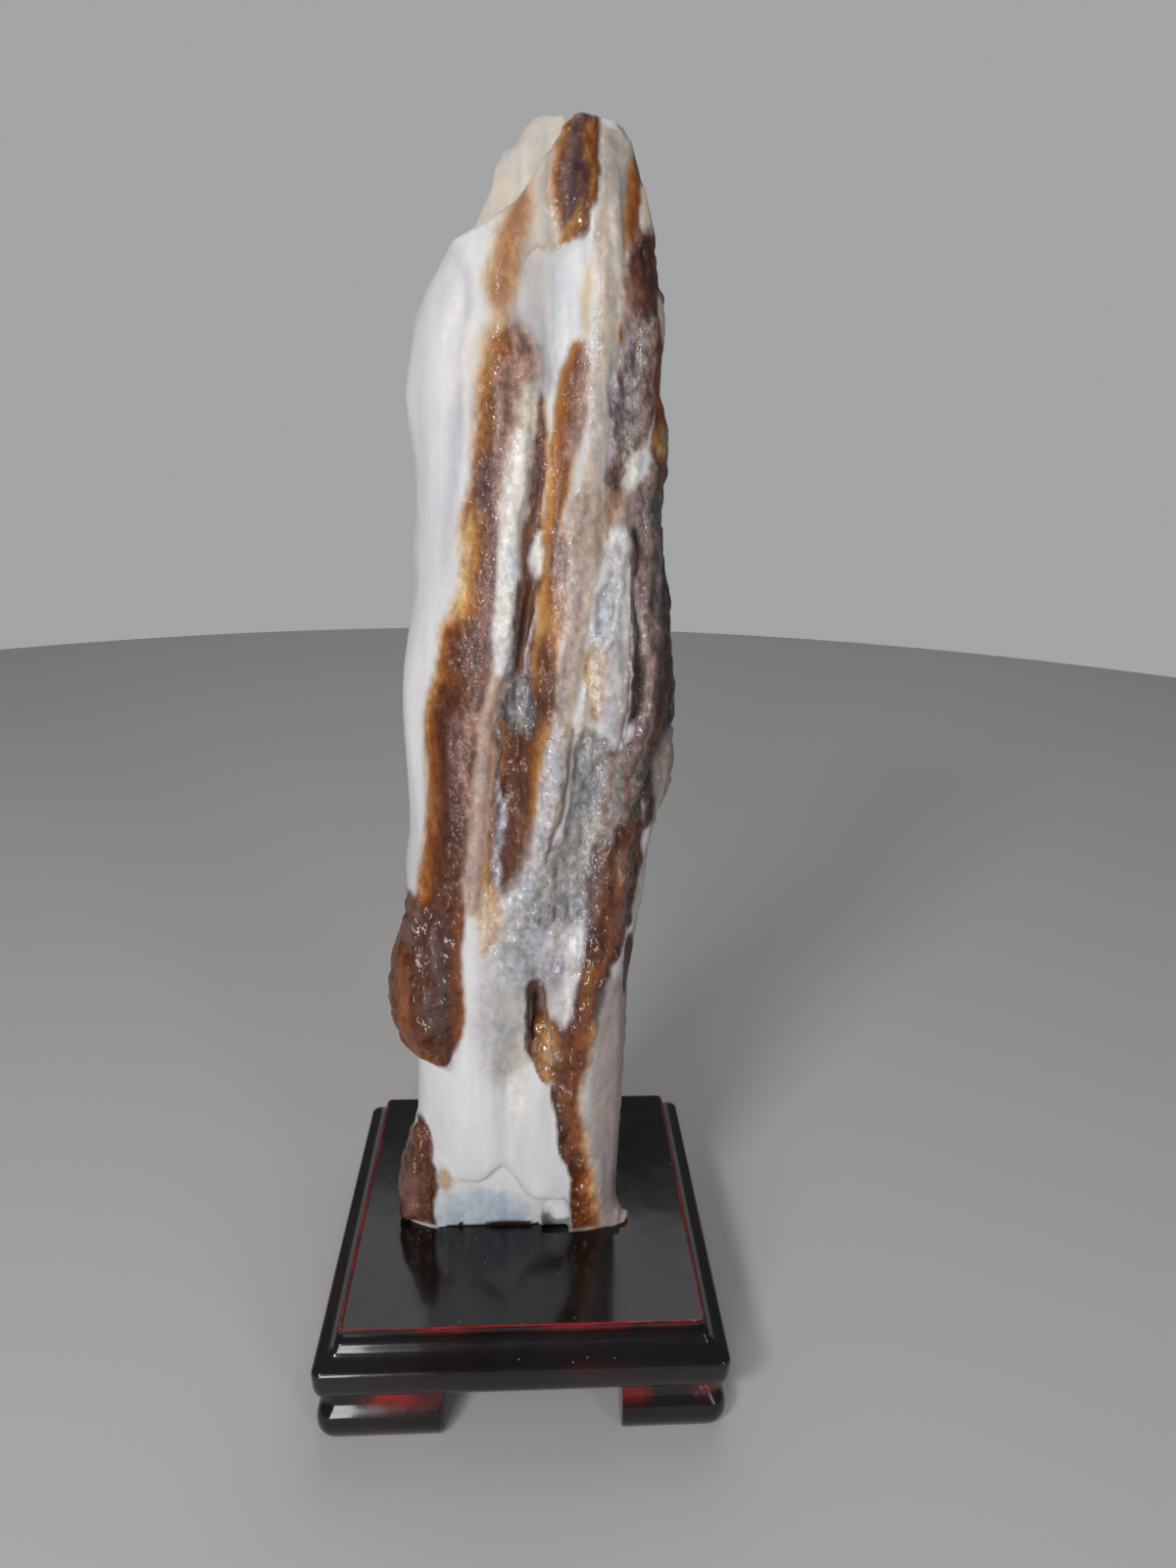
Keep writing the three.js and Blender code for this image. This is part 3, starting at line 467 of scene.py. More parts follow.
paint([(160.5, 12.6, 14), (156, 12.4, 14), (152, 14, 15), (149, 14.2, 15.6), (147, 14.5, 17.5),
       (144.5, 14.8, 17)], (HONEY, AMBER, HONEY), blur=1.1, sugar=0.5, polish=0.5, cover=0.75)
paint([(159.5, 14.8, 17.4), (147, 15.6, 17.8)], (BEIGE, CREAM, PINK), blur=0.9, sugar=0.9, step=0.25,
      polish=0.5, cover=0.85)
paint([(153.5, 12.8, 14), (143, 10.5, 14), (141, 11.2, 12.6)], (COOL, WHITE, CREAM), blur=0.5, step=0.4,
      sugar=0.2)
paint([(147, 6, 9), (142, 4, 10.5), (128, 3, 10), (114.5, 4, 5.6)], (OYSTER, LAVENDER, OYSTER, BEIGE),
      blur=(0.9, 0.7), sugar=0.5, swell=0.6, polish=0.8)
paint([(188, 22.4, 24), (183, 22.5, 25.5), (174.5, 23.2, 24.4), (166, 23.8, 25.6), (158, 24, 27.5),
       (149, 24, 27.5), (144, 23.2, 25.6)], (SLATE, UMBER, SLATE), blur=(0.6, 0.8), sugar=0.6, step=-0.4,
      polish=0.3)
paint([(185.5, 22, 23.2), (153.5, 22.4, 24.2), (137, 20.8, 22.6)], (GREY, MAUVE, SLATE), blur=(1.0, 0.5),
      sugar=0.3, step=0.2, polish=0.6)
groove([(179, 22.4), (170.5, 22.8), (162, 23.4), (153.5, 23.6), (145.5, 23.2), (138, 22)], 0.35, -0.25,
       COOL, 0.8)

# Far right: the long sugary column, the dark brown band behind it, painted near black as shade, and a
# pale patch.
paint([(201.5, 26.8, 28.2), (195, 24.5, 29.5), (191, 23.5, 30.5), (183, 25, 30), (176, 24, 29.5),
       (157, 27, 31.5), (152.5, 27.4, 30.4), (148.5, 26.8, 29.6), (139, 23, 28), (134, 22.5, 27.5),
       (123, 23.5, 29), (118, 24.4, 27.2)], (MAUVE, TAUPE, SLATE, SLATE), blur=(0.9, 0.8), sugar=0.75,
      step=0.3, polish=1.0, side=around)
# The band behind the column is dark brown, painted near black for the shade on that side.
paint([(190.5, 30.4, 32.2), (182.5, 30, 32), (174, 29.5, 33.5), (163, 30.5, 34), (153, 30, 36),
       (142, 28.5, 37.5), (135, 27, 37.5), (130, 27.5, 32.5), (121, 29, 32), (114, 28.8, 31.4)],
      (MAROON, UMBER, UMBER), blur=0.8, sugar=0.5, polish=0.7, side=around, beyond=(0, 6))
paint([(138, 33, 38), (134, 30.5, 37.5), (123, 32, 37), (118, 32, 35.5), (96, 28.5, 32),
       (79.5, 27.2, 29.6)], (GREY, BEIGE, GREY), blur=(0.9, 0.8), polish=0.7, side=around, cover=0.75,
      beyond=(0, 4))

# Lower middle: brown trough, grey druse and a thin sparkling column.
paint([(153, 2, 6.5), (149, 1, 7), (146, -6, 6), (142, -7, 5.5), (138, -7.5, 4), (133, -7.5, 3),
       (118, -8.5, 2.5), (111, -9.5, 2.5), (106, -10.5, 1.5), (102, -10, -3.5)],
      (HONEY, COPPER, MAROON, COPPER, AMBER), blur=(0.9, 1.1), sugar=0.45, polish=0.6, side=around)
paint([(125, -2.5, 2), (120, -3, 2.5), (113, -3.5, 2), (107, -4, 1), (102.5, -3, -0.8)],
      (BROWN, BROWN, HONEY), blur=1.3, sugar=0.4, cover=0.5)
paint([(146, 2.5, 6), (135.5, 1.2, 3.8), (123, 0.4, 2.4)], (BROWN, AMBER, HONEY), blur=0.8, sugar=0.4)
paint([(155, -1, 2), (152, -4.5, 2), (149, -5.5, 3), (146, -5.5, 3), (142, -3.5, 2)],
      (SLATE, GREY, SLATE), blur=1.3, sugar=0.9, polish=0.9)
paint([(144, -6.4, -5), (135, -6.8, -5.6), (130, -7.2, -5.2), (125, -7.5, -3.5), (120, -7.5, -3),
       (117, -7.5, -4.5), (112, -8, -5.2), (108, -8, -4.5), (104, -7.5, -4.5), (100.5, -5.8, -4)],
      (MAUVE, LAVENDER, MAUVE), blur=0.8, sugar=0.8, step=0.3, polish=1.0)

# Grey that fades into the white, sparkling druse over it, a tan patch and a crack.
paint([(92, -8.5, 15), (71, -12.5, 14), (62, -12, 9.5), (55, -10.5, 2), (49, -9, -1.5)],
      (LAVENDER, GREY, OYSTER, COOL), blur=(3.0, 2.4), sugar=0.1, polish=0.6, cover=0.7)
paint([(119, 2, 7), (114, 1.5, 15), (109, 0.5, 15.5), (103, -4, 15.5), (98, -6.5, 15.5), (94, -7.5, 15),
       (88, -7.5, 14.5), (78, -5, 14)], (COOL, GREY, LAVENDER, COOL), blur=(2.6, 1.6), sugar=0.3,
      polish=0.9, cover=0.9)
paint([(144, 11, 15), (140, 11, 20.5), (135, 11, 22.5), (130, 11, 20), (125, 10.5, 19.5), (120, 9.5, 17),
       (100, 2, 15.5), (93, -1, 15)], (GREY,), blur=(0.8, 1.6), sugar=0.65, polish=1.0)
paint([(138, 19.5, 22.5), (132, 19.5, 23.5), (119, 17, 24.5), (115, 16.5, 20.5), (107, 15.5, 20),
       (98, 16, 19)], (BROWN, SLATE, BROWN), sugar=0.9, polish=0.4, cover=0.75)
paint([(106, -11, -7.5), (102, -11, -5), (97, -12.5, -4.5), (93, -11.5, -5), (85.5, -11.2, -8.8)],
      (BEIGE, STRAW, HONEY, BEIGE), blur=(2.2, 1.9), sugar=0.4, polish=0.5, cover=0.75)
groove([(144, 10.8), (135.5, 10.4), (129, 10), (123, 8.8), (117.5, 6.6), (111, 4.8)], 0.7, 0.4, MAUVE)

# Right brown band that runs down to the leg, and the grey beside it, with painted shade that darkens it
# towards the right edge.
paint([(120, 21.5, 28), (115, 20, 29.5), (110, 17, 29.5), (105, 15.5, 29.5), (89, 15, 27.5),
       (81, 13.5, 22), (60, 9.5, 17.5)], (PLUM, EMBER, COPPER, RUST, EMBER, UMBER), blur=1.0, sugar=0.35,
      step=0.4, polish=1.0, side=around)
paint([(114.5, 16, 18), (107, 15.2, 16.6), (93, 14.4, 16)], (MAUVE, SLATE, MAUVE), blur=0.8, sugar=0.6,
      step=-0.2, polish=0.8, cover=0.9)
paint([(115, 16.5, 20), (110, 15.5, 20), (98, 15.5, 18.5), (93.5, 15, 17.2)], (SLATE, MAUVE, BROWN),
      blur=(0.8, 1.2), sugar=0.5, polish=0.9, cover=0.8)
paint([(112, 20.5, 25), (107, 21, 25.5), (103.5, 21.5, 24.5)], (BROWN, PINK, BROWN), blur=1.3, sugar=0.7,
      polish=1.0, cover=0.6)
paint([(83, 14.6, 17.6), (79, 14, 17.5), (71, 13.4, 15.8)], (RUST, AMBER, RUST), sugar=0.2, polish=1.0,
      cover=0.85)
# Painted shade: the beige-grey turns taupe and mauve towards the right edge.
paint([(78, 21, 30), (71, 19, 27.5), (48, 16, 27), (36, 15.5, 27.5), (10, 19.5, 27.5), (-2, 20, 27.5)],
      (GREY, TAUPE, TAUPE, MAUVE), blur=(2.4, 1.0), sugar=0.15, polish=0.4, side=around, cover=0.8,
      beyond=(0, 3))

# Leg: the brown band runs on to the foot, with a darker rim.
paint([(66, 7.5, 19), (61, 9, 17.5), (55, 9, 17), (50, 7.5, 15.5), (45, 7.5, 14), (32, 9, 16.5),
       (19, 12, 18.5), (12, 12.5, 20), (-1, 12.5, 21)], (EMBER, COPPER, RUST, HONEY), blur=(0.5, 1.7),
      sugar=0.2, step=0.3, polish=1.0)
paint([(47, 8.5, 13), (43, 8, 13.5), (38, 9, 14), (35, 10.5, 14.5)], (COPPER, BROWN, COPPER), blur=1.5,
      sugar=0.1, polish=0.9, cover=0.5)
paint([(48, 6.4, 8.8), (43, 7, 10), (39, 8, 11.5), (35, 9, 12), (30, 8.5, 11.5), (25.5, 10, 11.6)],
      (UMBER, EMBER, RUST), blur=(0.4, 1.0), sugar=0.3, swell=0.6, polish=1.0)

# Slot: shaded and mauve inside, with the amber nodule and its pale middle.
paint([(80, 1.6, 3.6), (78, 0.5, 4.5), (68, 0, 6), (62, 0, 4), (58.5, 0.4, 1.6)], (UMBER, PLUM, MAUVE),
      blur=(0.4, 0.5), polish=0.2)
paint([(79, 2.8, 4), (69, 2.8, 5.6), (65, 3.6, 6)], (MAUVE, PINK, MAUVE), blur=0.6, polish=0.5)
paint([(67, 3, 7.5), (63, 1.5, 10.5), (59, 0.5, 11), (55, 1.5, 10.5), (51, 3, 9.5), (48, 5.5, 8.5)],
      (MAROON, BROWN, AMBER, HONEY, AMBER, BROWN, BROWN), blur=(0.5, 1.2), polish=1.0)
paint([(63, 3.8, 6.8), (59, 3, 8), (56, 3.5, 7.5), (53, 2.5, 6.5)], (AMBER, HONEY, PINK), blur=1.3,
      polish=1.0, cover=0.7)

# Foot: a dark brown strip painted darker as shade and the left crust, a glossy white patch painted as a
# highlight, a honey spot, the blue-white face, a chip at the right and a painted shadow along the joint
# with the board.
# Dark brown strip at the right edge, painted near black for the shade it lies in.
paint([(84.5, 26.4, 28), (80, 25, 28.5), (74, 25, 28.5), (70.5, 26, 27.2)], (UMBER, MAROON, UMBER),
      blur=0.4, side=around)
paint([(32.5, -28.6, -26.4), (30, -30, -25), (22, -32.5, -24.5), (20, -33, -23.5), (15, -34, -23),
       (3, -34.5, -24), (0, -32, -24)], (EMBER, COPPER, COPPER, EMBER), blur=0.6, sugar=0.2, step=0.3,
      polish=0.8, side=around, beyond=(6, 0))
paint([(18, -33.5, -25), (17, -33.5, -25), (10, -34.5, -26), (2, -34, -25.5)], (MAROON, MAUVE, MAROON),
      blur=1.3, sugar=0.35, polish=0.6, side=around, cover=0.85, beyond=(6, 0))
# A glossy white patch painted as a highlight on the bulge.
paint([(51.5, -3.6, -1.2), (48, -5, 0), (36, -5, -1)], (WHITE,), blur=1.8, polish=0.35)
paint([(20.5, -22.8, -20), (18, -23.5, -18.5), (14, -22.5, -19.5)], (BEIGE, HONEY, BEIGE), blur=1.0,
      polish=0.6, cover=0.8)
paint([(14, -22, -9.5), (12, -23.5, -1.5), (6, -24, 2), (0, -24, 2.5)], (COOL, SKY, SKY, SKY, SKY, COOL),
      blur=(0.8, 1.5), polish=0.3, cover=0.9)
paint([(-6, 26.4, 32), (6, 26.4, 32)], (BEIGE, STRAW, AMBER), blur=0.4, sugar=0.5, side=around)
# Painted shadow: a dark wavy line along the joint with the board.
paint([(-3, -24, 5), (0.4, -22, 4), (0.9, -15, 2.5), (1.7, -7, 0)], (UMBER,), blur=0.5, polish=0.2)

# Back: the same bands come round, softer and more worn, with lens-shaped pockets of druse.
paint([(-6, -24, 14), (30, -20, 12), (62, -14, 6)], (COOL, LAVENDER, COOL), blur=3.0, side=back,
      cover=0.5)
paint([(-6, -22, -13), (22, -23, -12), (52, -21, -8), (80, -17, -9), (104, -15, -10), (136, -19, -6),
       (160, -18, -3), (186, -13, -4), (210, -9, -3), (230, -5, -3)],
      (STRAW, HONEY, AMBER, BROWN, MAUVE, PINK), blur=(2.0, 1.6), sugar=0.45, step=0.3, polish=0.3,
      side=back)
paint([(28, -17, -12), (50, -15, -10), (74, -14, -12)], (MAUVE, PLUM, MAUVE), sugar=0.8, side=back)
paint([(122, -15, -12), (146, -13, -7), (172, -12, -6), (190, -8, -6)], (BROWN, PLUM, MAROON), sugar=0.8,
      step=-0.3, side=back)
paint([(64, -21, -18), (90, -20, -17), (118, -22, -19)], (CREAM, STRAW, HONEY), side=back, cover=0.8)
paint([(18, 1, 3), (34, 0, 5), (58, -2, 6), (78, -1, 4), (96, 1, 3)], (BROWN, GREY, TAUPE, GREY, OYSTER),
      blur=(1.6, 1.4), sugar=0.9, step=-0.3, polish=0.5, side=back)
paint([(112, 3, 5), (130, 1, 8), (158, 2, 11), (182, 5, 13), (204, 8, 11)],
      (HONEY, TAUPE, GREY, SLATE, GREY, OYSTER), blur=(1.8, 1.4), sugar=0.9, step=-0.5, polish=0.6,
      side=back)
paint([(-6, 13, 23), (20, 12, 20), (48, 13, 20), (78, 15, 26), (104, 15, 30), (132, 18, 32),
       (160, 15, 29), (184, 17, 27), (208, 17, 23), (236, 18, 20)],
      (HONEY, BROWN, MAUVE, MAROON, RUST, COPPER), blur=(1.6, 1.2), sugar=0.6, step=0.3, polish=0.5,
      side=back)
paint([(86, 19, 23), (112, 22, 27), (140, 22, 27), (158, 20, 23)], (TAUPE, GREY, TAUPE), sugar=1.0,
      polish=0.7, side=back, cover=0.85)
paint([(100, 12, 13.5), (128, 12.5, 14), (152, 13, 14.5), (176, 14, 15)], (STRAW, HONEY, STRAW), blur=0.8,
      side=back)
paint([(196, -4, 1), (214, -5, 4), (232, -3, 5), (244, 0, 4)], (STRAW, HONEY, AMBER, STRAW), blur=2.2,
      sugar=0.2, swell=0.3, side=back, cover=0.85)
paint([(64, -31, -26), (96, -30, -24), (130, -29, -24), (165, -27, -22)], (CREAM, STRAW, BEIGE), blur=1.8,
      sugar=0.3, side=back, cover=0.7)

# Unevenness of the broken surface: slow waves, flutes along the grain, lumps and crystals,
# and wet wrinkles where it is glossy. It dies away at the foot.
crusty = np.clip(druse * 1.2, 0.0, 1.0)
right_flutes = smooth_step(0, 14, x) * smooth_step(150, 190, z)
for height, cell, seed, where in (
    (0.30, (9, 9, 22), 21, 1.0),
    (0.16, (4, 4, 13), 27, 1.0),
    (0.55, (4.5, 4.5, 34), 28, away),
    (0.28, (1.6, 1.6, 20), 29, away),
    (0.24, (1.5, 1.5, 22), 22, right_flutes),
    (0.45, (5, 5, 8), 26, crusty),
    (0.20, (3.2, 3.2, 3.2), 23, behind),
    (0.08, (1.4, 1.4, 1.4), 24, behind),
    (0.30, (2.2, 2.2, 2.2), 25, smooth_step(258, 262, z)),
):
    lift += height * where * clouds(cell, seed)
lift += (0.04 + 0.26 * crusty) * lumps + (0.34 * crusty ** 2 + 0.14 * gloss) * crumbs
for height, wrinkles in ((0.26, lumps), (0.70, clouds((3.0, 3.0, 4.6), 31))):
    lift += height * gloss * (2.0 * np.abs(wrinkles) - 0.6)
lift *= smooth_step(0.3, 2.5, z)
move_points(wood_mesh, wood_points + (0.0, 0.0, PLATE_TOP) + facing * lift[:, None])
wood_mesh.shade_smooth()


def record(made, name, values):
    """Keep a share from 0 to 1 at every point of a mesh, for its material to read."""
    layer = made.attributes.new(name, "FLOAT", "POINT")
    layer.data.foreach_set("value", np.clip(values, 0.0, 1.0))


record(wood_mesh, "druse", druse)
record(wood_mesh, "gloss", gloss)
layer = wood_mesh.attributes.new("tint", "FLOAT_COLOR", "POINT")
layer.data.foreach_set("color", np.hstack([np.clip(tint, 0.0, 1.0), np.ones((count, 1))]).ravel())


def new_material(name):
    material = bpy.data.materials.new(name)
    material.use_nodes = True
    tree = material.node_tree
    return material, tree, tree.nodes["Principled BSDF"]


def plug(tree, value, socket):
    """Link a node's output to a socket, or set the socket to a plain value."""
    if isinstance(value, bpy.types.NodeSocket):
        tree.links.new(value, socket)
    elif isinstance(value, (tuple, np.ndarray)):
        socket.default_value = (*value, 1.0) if socket.type == "RGBA" else value
    else:
        socket.default_value = value


def dress(tree, shader, sockets):
    """Give a shader its numbers and its nodes, by the names of its sockets."""
    for name, value in sockets.items():
        plug(tree, value, shader.inputs[name])


def ramp(tree, value, stops):
    node = tree.nodes.new("ShaderNodeValToRGB")
    while len(node.color_ramp.elements) < len(stops):
        node.color_ramp.elements.new(1.0)
    for element, (position, tone) in zip(node.color_ramp.elements, stops):
        element.position = position
        element.color = (*np.broadcast_to(tone, 3), 1.0)
    tree.links.new(value, node.inputs[0])
    return node.outputs[0]


def mix(tree, factor, first, second, kind="MIX"):
    node = tree.nodes.new("ShaderNodeMix")
    node.data_type = "RGBA"
    node.blend_type = kind
    for socket, value in zip((node.inputs[0], node.inputs[6], node.inputs[7]), (factor, first, second)):
        plug(tree, value, socket)
    return node.outputs[2]


def sums(tree, operation, first, second, third=0.0):
    node = tree.nodes.new("ShaderNodeMath")
    node.operation = operation
    for socket, value in zip(node.inputs, (first, second, third)):
        plug(tree, value, socket)
    return node.outputs[0]


def times(tree, first, second):
    return sums(tree, "MULTIPLY", first, second)


def larger(tree, first, second):
    return sums(tree, "MAXIMUM", first, second)


def scaled(tree, value, factor, offset):
    return sums(tree, "MULTIPLY_ADD", value, factor, offset)


def vectors(tree, operation, first, second=(0.0, 0.0, 0.0)):
    node = tree.nodes.new("ShaderNodeVectorMath")
    node.operation = operation
    plug(tree, first, node.inputs[0])
    plug(tree, second, node.inputs["Scale" if operation == "SCALE" else 1])
    return node.outputs[0]


def attribute(tree, name, output="Fac"):
    node = tree.nodes.new("ShaderNodeAttribute")
    node.attribute_name = name
    return node.outputs[output]


def texture(tree, kind, output, stretch, **settings):
    """A pattern through the solid, scaled in cells a metre; a stretch below 1 along an axis
    draws the cells out along it."""
    mapping = tree.nodes.new("ShaderNodeMapping")
    mapping.inputs["Scale"].default_value = stretch
    tree.links.new(tree.nodes.new("ShaderNodeTexCoord").outputs["Object"], mapping.inputs["Vector"])
    node = tree.nodes.new(kind)
    tree.links.new(mapping.outputs[0], node.inputs["Vector"])
    for name, value in settings.items():
        node.inputs[name].default_value = value
    return node.outputs[output]


def noise(tree, scale, detail=2.0, roughness=0.5, stretch=(1.0, 1.0, 1.0)):
    return texture(tree, "ShaderNodeTexNoise", "Fac", stretch, Scale=scale, Detail=detail,
                   Roughness=roughness)


def cells(tree, scale, output, stretch=(1.0, 1.0, 1.0)):
    return texture(tree, "ShaderNodeTexVoronoi", output, stretch, Scale=scale)


def bumps(tree, *layers):
    """Bumps laid over each other, each with its height, strength and depth in m."""
    normal = None
    for height, strength, depth in layers:
        node = tree.nodes.new("ShaderNodeBump")
        plug(tree, strength, node.inputs["Strength"])
        node.inputs["Distance"].default_value = depth
        tree.links.new(height, node.inputs["Height"])
        if normal is not None:
            tree.links.new(normal, node.inputs["Normal"])
        normal = node.outputs[0]
    return normal


def faceted(tree, normal, middle, *crystals):
    """Lean the surface over by each crystal's own face, as far as its reach goes."""
    for grain, reach in crystals:
        face = vectors(tree, "SUBTRACT", grain, middle)
        normal = vectors(tree, "ADD", normal, vectors(tree, "SCALE", face, reach))
    return vectors(tree, "NORMALIZE", normal)


# Opal: milky streaks and mottling in the colour, with painted shade in the pits and painted highlight on
# the crests of the sugary skin. There every crystal has its own flat face, so that it glitters, and the
# crystals on the crests are painted pale as glints.
opal, tree, shader = new_material("opal")
druse_at = attribute(tree, "druse")
gloss_at = attribute(tree, "gloss")
pitting = noise(tree, 560.0, 2.0, 0.55, (1.0, 1.0, 0.75))
crests = times(tree, druse_at, ramp(tree, pitting, [(0.40, 0.10), (0.60, 1.0)]))
facets_and_painted_glints = times(tree, crests, scaled(tree, gloss_at, -0.35, 1.0))
rugged = larger(tree, druse_at, times(tree, gloss_at, 0.6))
small = cells(tree, 2200.0, "Color", (1.0, 1.0, 0.8))
large = cells(tree, 1050.0, "Color", (1.0, 1.0, 0.7))

milk = ramp(tree, noise(tree, 300.0, 3.0, 0.6, (1.0, 1.0, 0.12)), [(0.3, 0.95), (0.5, 1.0), (0.72, 1.03)])
colour = mix(tree, 1.0, attribute(tree, "tint", "Color"), milk, "MULTIPLY")
for pattern, strength, tones in (
    (noise(tree, 700.0, 4.0, 0.7), scaled(tree, druse_at, 0.8, 0.10),
     [(0.32, (0.78, 0.72, 0.68)), (0.5, 1.0), (0.68, (1.22, 1.20, 1.18))]),
    # Painted shade and painted highlight: darker in the pits and lighter on the crests of the same
    # pitting that bumps the skin.
    (pitting, times(tree, rugged, 0.85),
     [(0.35, (0.50, 0.45, 0.44)), (0.48, 0.94), (0.63, (1.34, 1.32, 1.30))]),
    (noise(tree, 240.0, 4.0, 0.6, (1.0, 1.0, 0.6)), times(tree, rugged, 0.55),
     [(0.34, (0.50, 0.46, 0.46)), (0.5, 1.0), (0.66, (1.38, 1.35, 1.32))]),
):
    toned = mix(tree, 1.0, colour, ramp(tree, pattern, tones), "MULTIPLY")
    colour = mix(tree, strength, colour, toned)
# Painted glints: pale crystals on the crests get a lighter copy of the colour.
painted_glint_tone = mix(tree, 1.0, mix(tree, 1.0, colour, (1.65, 1.6, 1.55), "MULTIPLY"), (0.07, 0.055, 0.055), "ADD")
for grain, weight in ((small, 0.50), (large, 0.32)):
    pale = times(tree, ramp(tree, grain, [(0.56, 0.0), (0.70, 1.0)]), facets_and_painted_glints)
    colour = mix(tree, times(tree, pale, weight), colour, painted_glint_tone)

rough = scaled(tree, gloss_at, -0.06, scaled(tree, druse_at, -0.12, 0.38))
rough = larger(tree, scaled(tree, noise(tree, 900.0), 0.16, rough), 0.12)
skin = bumps(
    tree,
    (noise(tree, 360.0, 3.0, 0.55), 0.30, 0.0006),
    (pitting, scaled(tree, druse_at, 0.7, times(tree, gloss_at, 0.12)), 0.0010),
    (noise(tree, 1500.0, 3.0, 0.6), scaled(tree, druse_at, 0.6, 0.10), 0.0004),
)
skin = faceted(tree, skin, (0.5, 0.5, 0.5), (small, times(tree, facets_and_painted_glints, 0.9)),
               (large, times(tree, facets_and_painted_glints, 0.5)))

# The skin is wet-looking where it is glossy: small waves catch the light in short glints,
# and the faces of the sugar crystals, most of them tipped upward, glitter.
wet = larger(tree, gloss_at, times(tree, druse_at, 0.6))
film = bumps(
    tree,
    (noise(tree, 320.0, 1.2, 0.5, (1.0, 1.0, 0.9)), scaled(tree, gloss_at, 0.9, 0.1), 0.0018),
    (noise(tree, 1100.0, 1.0, 0.5, (1.0, 1.0, 0.8)), scaled(tree, druse_at, 0.9, 0.1), 0.0004),
)
film = faceted(tree, film, (0.5, 0.5, 0.1), (small, times(tree, crests, 0.5)),
               (large, times(tree, crests, 0.7)))
dress(tree, shader, {
    "Base Color": colour,
    "Roughness": rough,
    "IOR": 1.46,
    "Specular IOR Level": 0.20,
    "Subsurface Weight": 0.28,
    "Subsurface Radius": (0.0030, 0.0020, 0.0013),
    "Subsurface Scale": 1.0,
    "Normal": skin,
    "Coat Weight": scaled(tree, wet, 0.82, 0.04),
    "Coat Roughness": 0.11,
    "Coat IOR": 1.55,
    "Coat Normal": film,
})

wood_mesh.materials.clear()
wood_mesh.materials.append(opal)
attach(wood, "root")
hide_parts("petrified_wood")

# ---------------------------------------------------------------- stand board
# One square board of hardwood with a routed edge: a full bead, a cove and a thin lip round the top. It is
# sprayed with glossy black lacquer over dark red; the red is painted in by height, partly where the black
# is worn thin and partly as painted highlight where light falls on the lacquer, brightest along the top
# arris. Its socket is carved to the foot of the stone.

board_low, board_high = box_of("stand_board")
BOARD_HALF = board_high[0]  # half the width at the bead's widest line, mm
FEET_TOP = board_low[2]     # where the board begins, mm above the table
SOCKET_FLOOR = box_of("petrified_wood")[0][2]   # where the stone rests in it
CORNER_STEPS = 9            # faces round each corner
SIDE_STEPS = 12             # faces along each side
WAVE = 0.10                 # how far the hand-rubbed faces stray from true, mm
CREASE = math.radians(32.0)     # faces that turn more than this meet in a crisp arris

# Edge of the board in smooth runs: height above the feet, distance in from the widest
# line, corner radius. The flat top begins where the lip ends.
BEAD = [(0.0, 1.1, 2.2), (0.9, 0.5, 2.4), (2.6, 0.1, 2.6), (5.2, 0.0, 2.6), (7.2, 0.1, 2.5),
        (8.0, 0.7, 2.2)]
COVE = [(8.1, 0.9, 2.2), (8.6, 2.0, 2.0), (9.4, 3.5, 1.9), (10.5, 4.5, 1.8), (11.6, 5.0, 1.8),
        (12.2, 5.8, 1.6), (12.7, 6.7, 1.5)]
LIP = [(12.9, 6.1, 1.6), (13.2, 6.0, 1.6), (14.5, 6.0, 1.6), (14.8, 6.15, 1.4), (15.0, 6.5, 1.2)]
TOP_INSET, TOP_RADIUS = 7.1, 1.0
# The socket's wall: height, and how far it opens beyond the foot of the stone.
SOCKET_WALL = [(SOCKET_FLOOR, 0.0), (PLATE_TOP - 0.6, 0.0), (PLATE_TOP - 0.2, 0.12),
               (PLATE_TOP + 0.1, 0.45)]
# How much red shows, by height above the feet, and how far in it reaches on the top.
BOARD_RED = [(0.0, 0.2), (1.5, 0.05), (7.0, 0.05), (8.0, 0.16), (8.8, 0.03), (12.7, 0.03), (12.9, 0.3),
             (14.3, 0.45), (15.0, 1.0)]
RED_INSET = 6.88


def smooth_run(knots, steps):
    """More points along a curve that passes through all the given ones."""
    knots = np.array(knots)
    at = np.linspace(0.0, len(knots) - 1.0, steps)
    low = np.minimum(at.astype(int), len(knots) - 2)
    t = (at - low)[:, None]
    before, start = knots[np.maximum(low - 1, 0)], knots[low]
    end, after = knots[low + 1], knots[np.minimum(low + 2, len(knots) - 1)]
    slope = end - before
    bend = 2.0 * before - 5.0 * start + 4.0 * end - after
    twist = 3.0 * start - before - 3.0 * end + after
    return 0.5 * (2.0 * start + slope * t + bend * t ** 2 + twist * t ** 3)


def square_plan(half, radius):
    """Plan of a square with round corners, anticlockwise."""
    flat = half - radius
    side = [(half, flat * (2.0 * step / SIDE_STEPS - 1.0)) for step in range(SIDE_STEPS)]
    for step in range(CORNER_STEPS):
        angle = math.pi / 2.0 * step / CORNER_STEPS
        side.append((flat + radius * math.cos(angle), flat + radius * math.sin(angle)))
    plan = []
    for quarter in range(4):
        plan += side
        side = [(-py, px) for px, py in side]
    return plan


def solid_of_rings(name, rings):
    """Closed solid through rings of points, lowest ring first, in mm."""
    size = len(rings[0])
    top = size * (len(rings) - 1)
    faces = [tuple(range(size - 1, -1, -1)), tuple(range(top, top + size))]
    for start in range(0, top, size):
        for k in range(size):
            a, b = start + k, start + (k + 1) % size
            faces.append((a, b, b + size, a + size))
    made = bpy.data.meshes.new(name)
    made.from_pydata([[value / 1000.0 for value in point] for ring in rings for point in ring], [], faces)
    return placed(name, made)


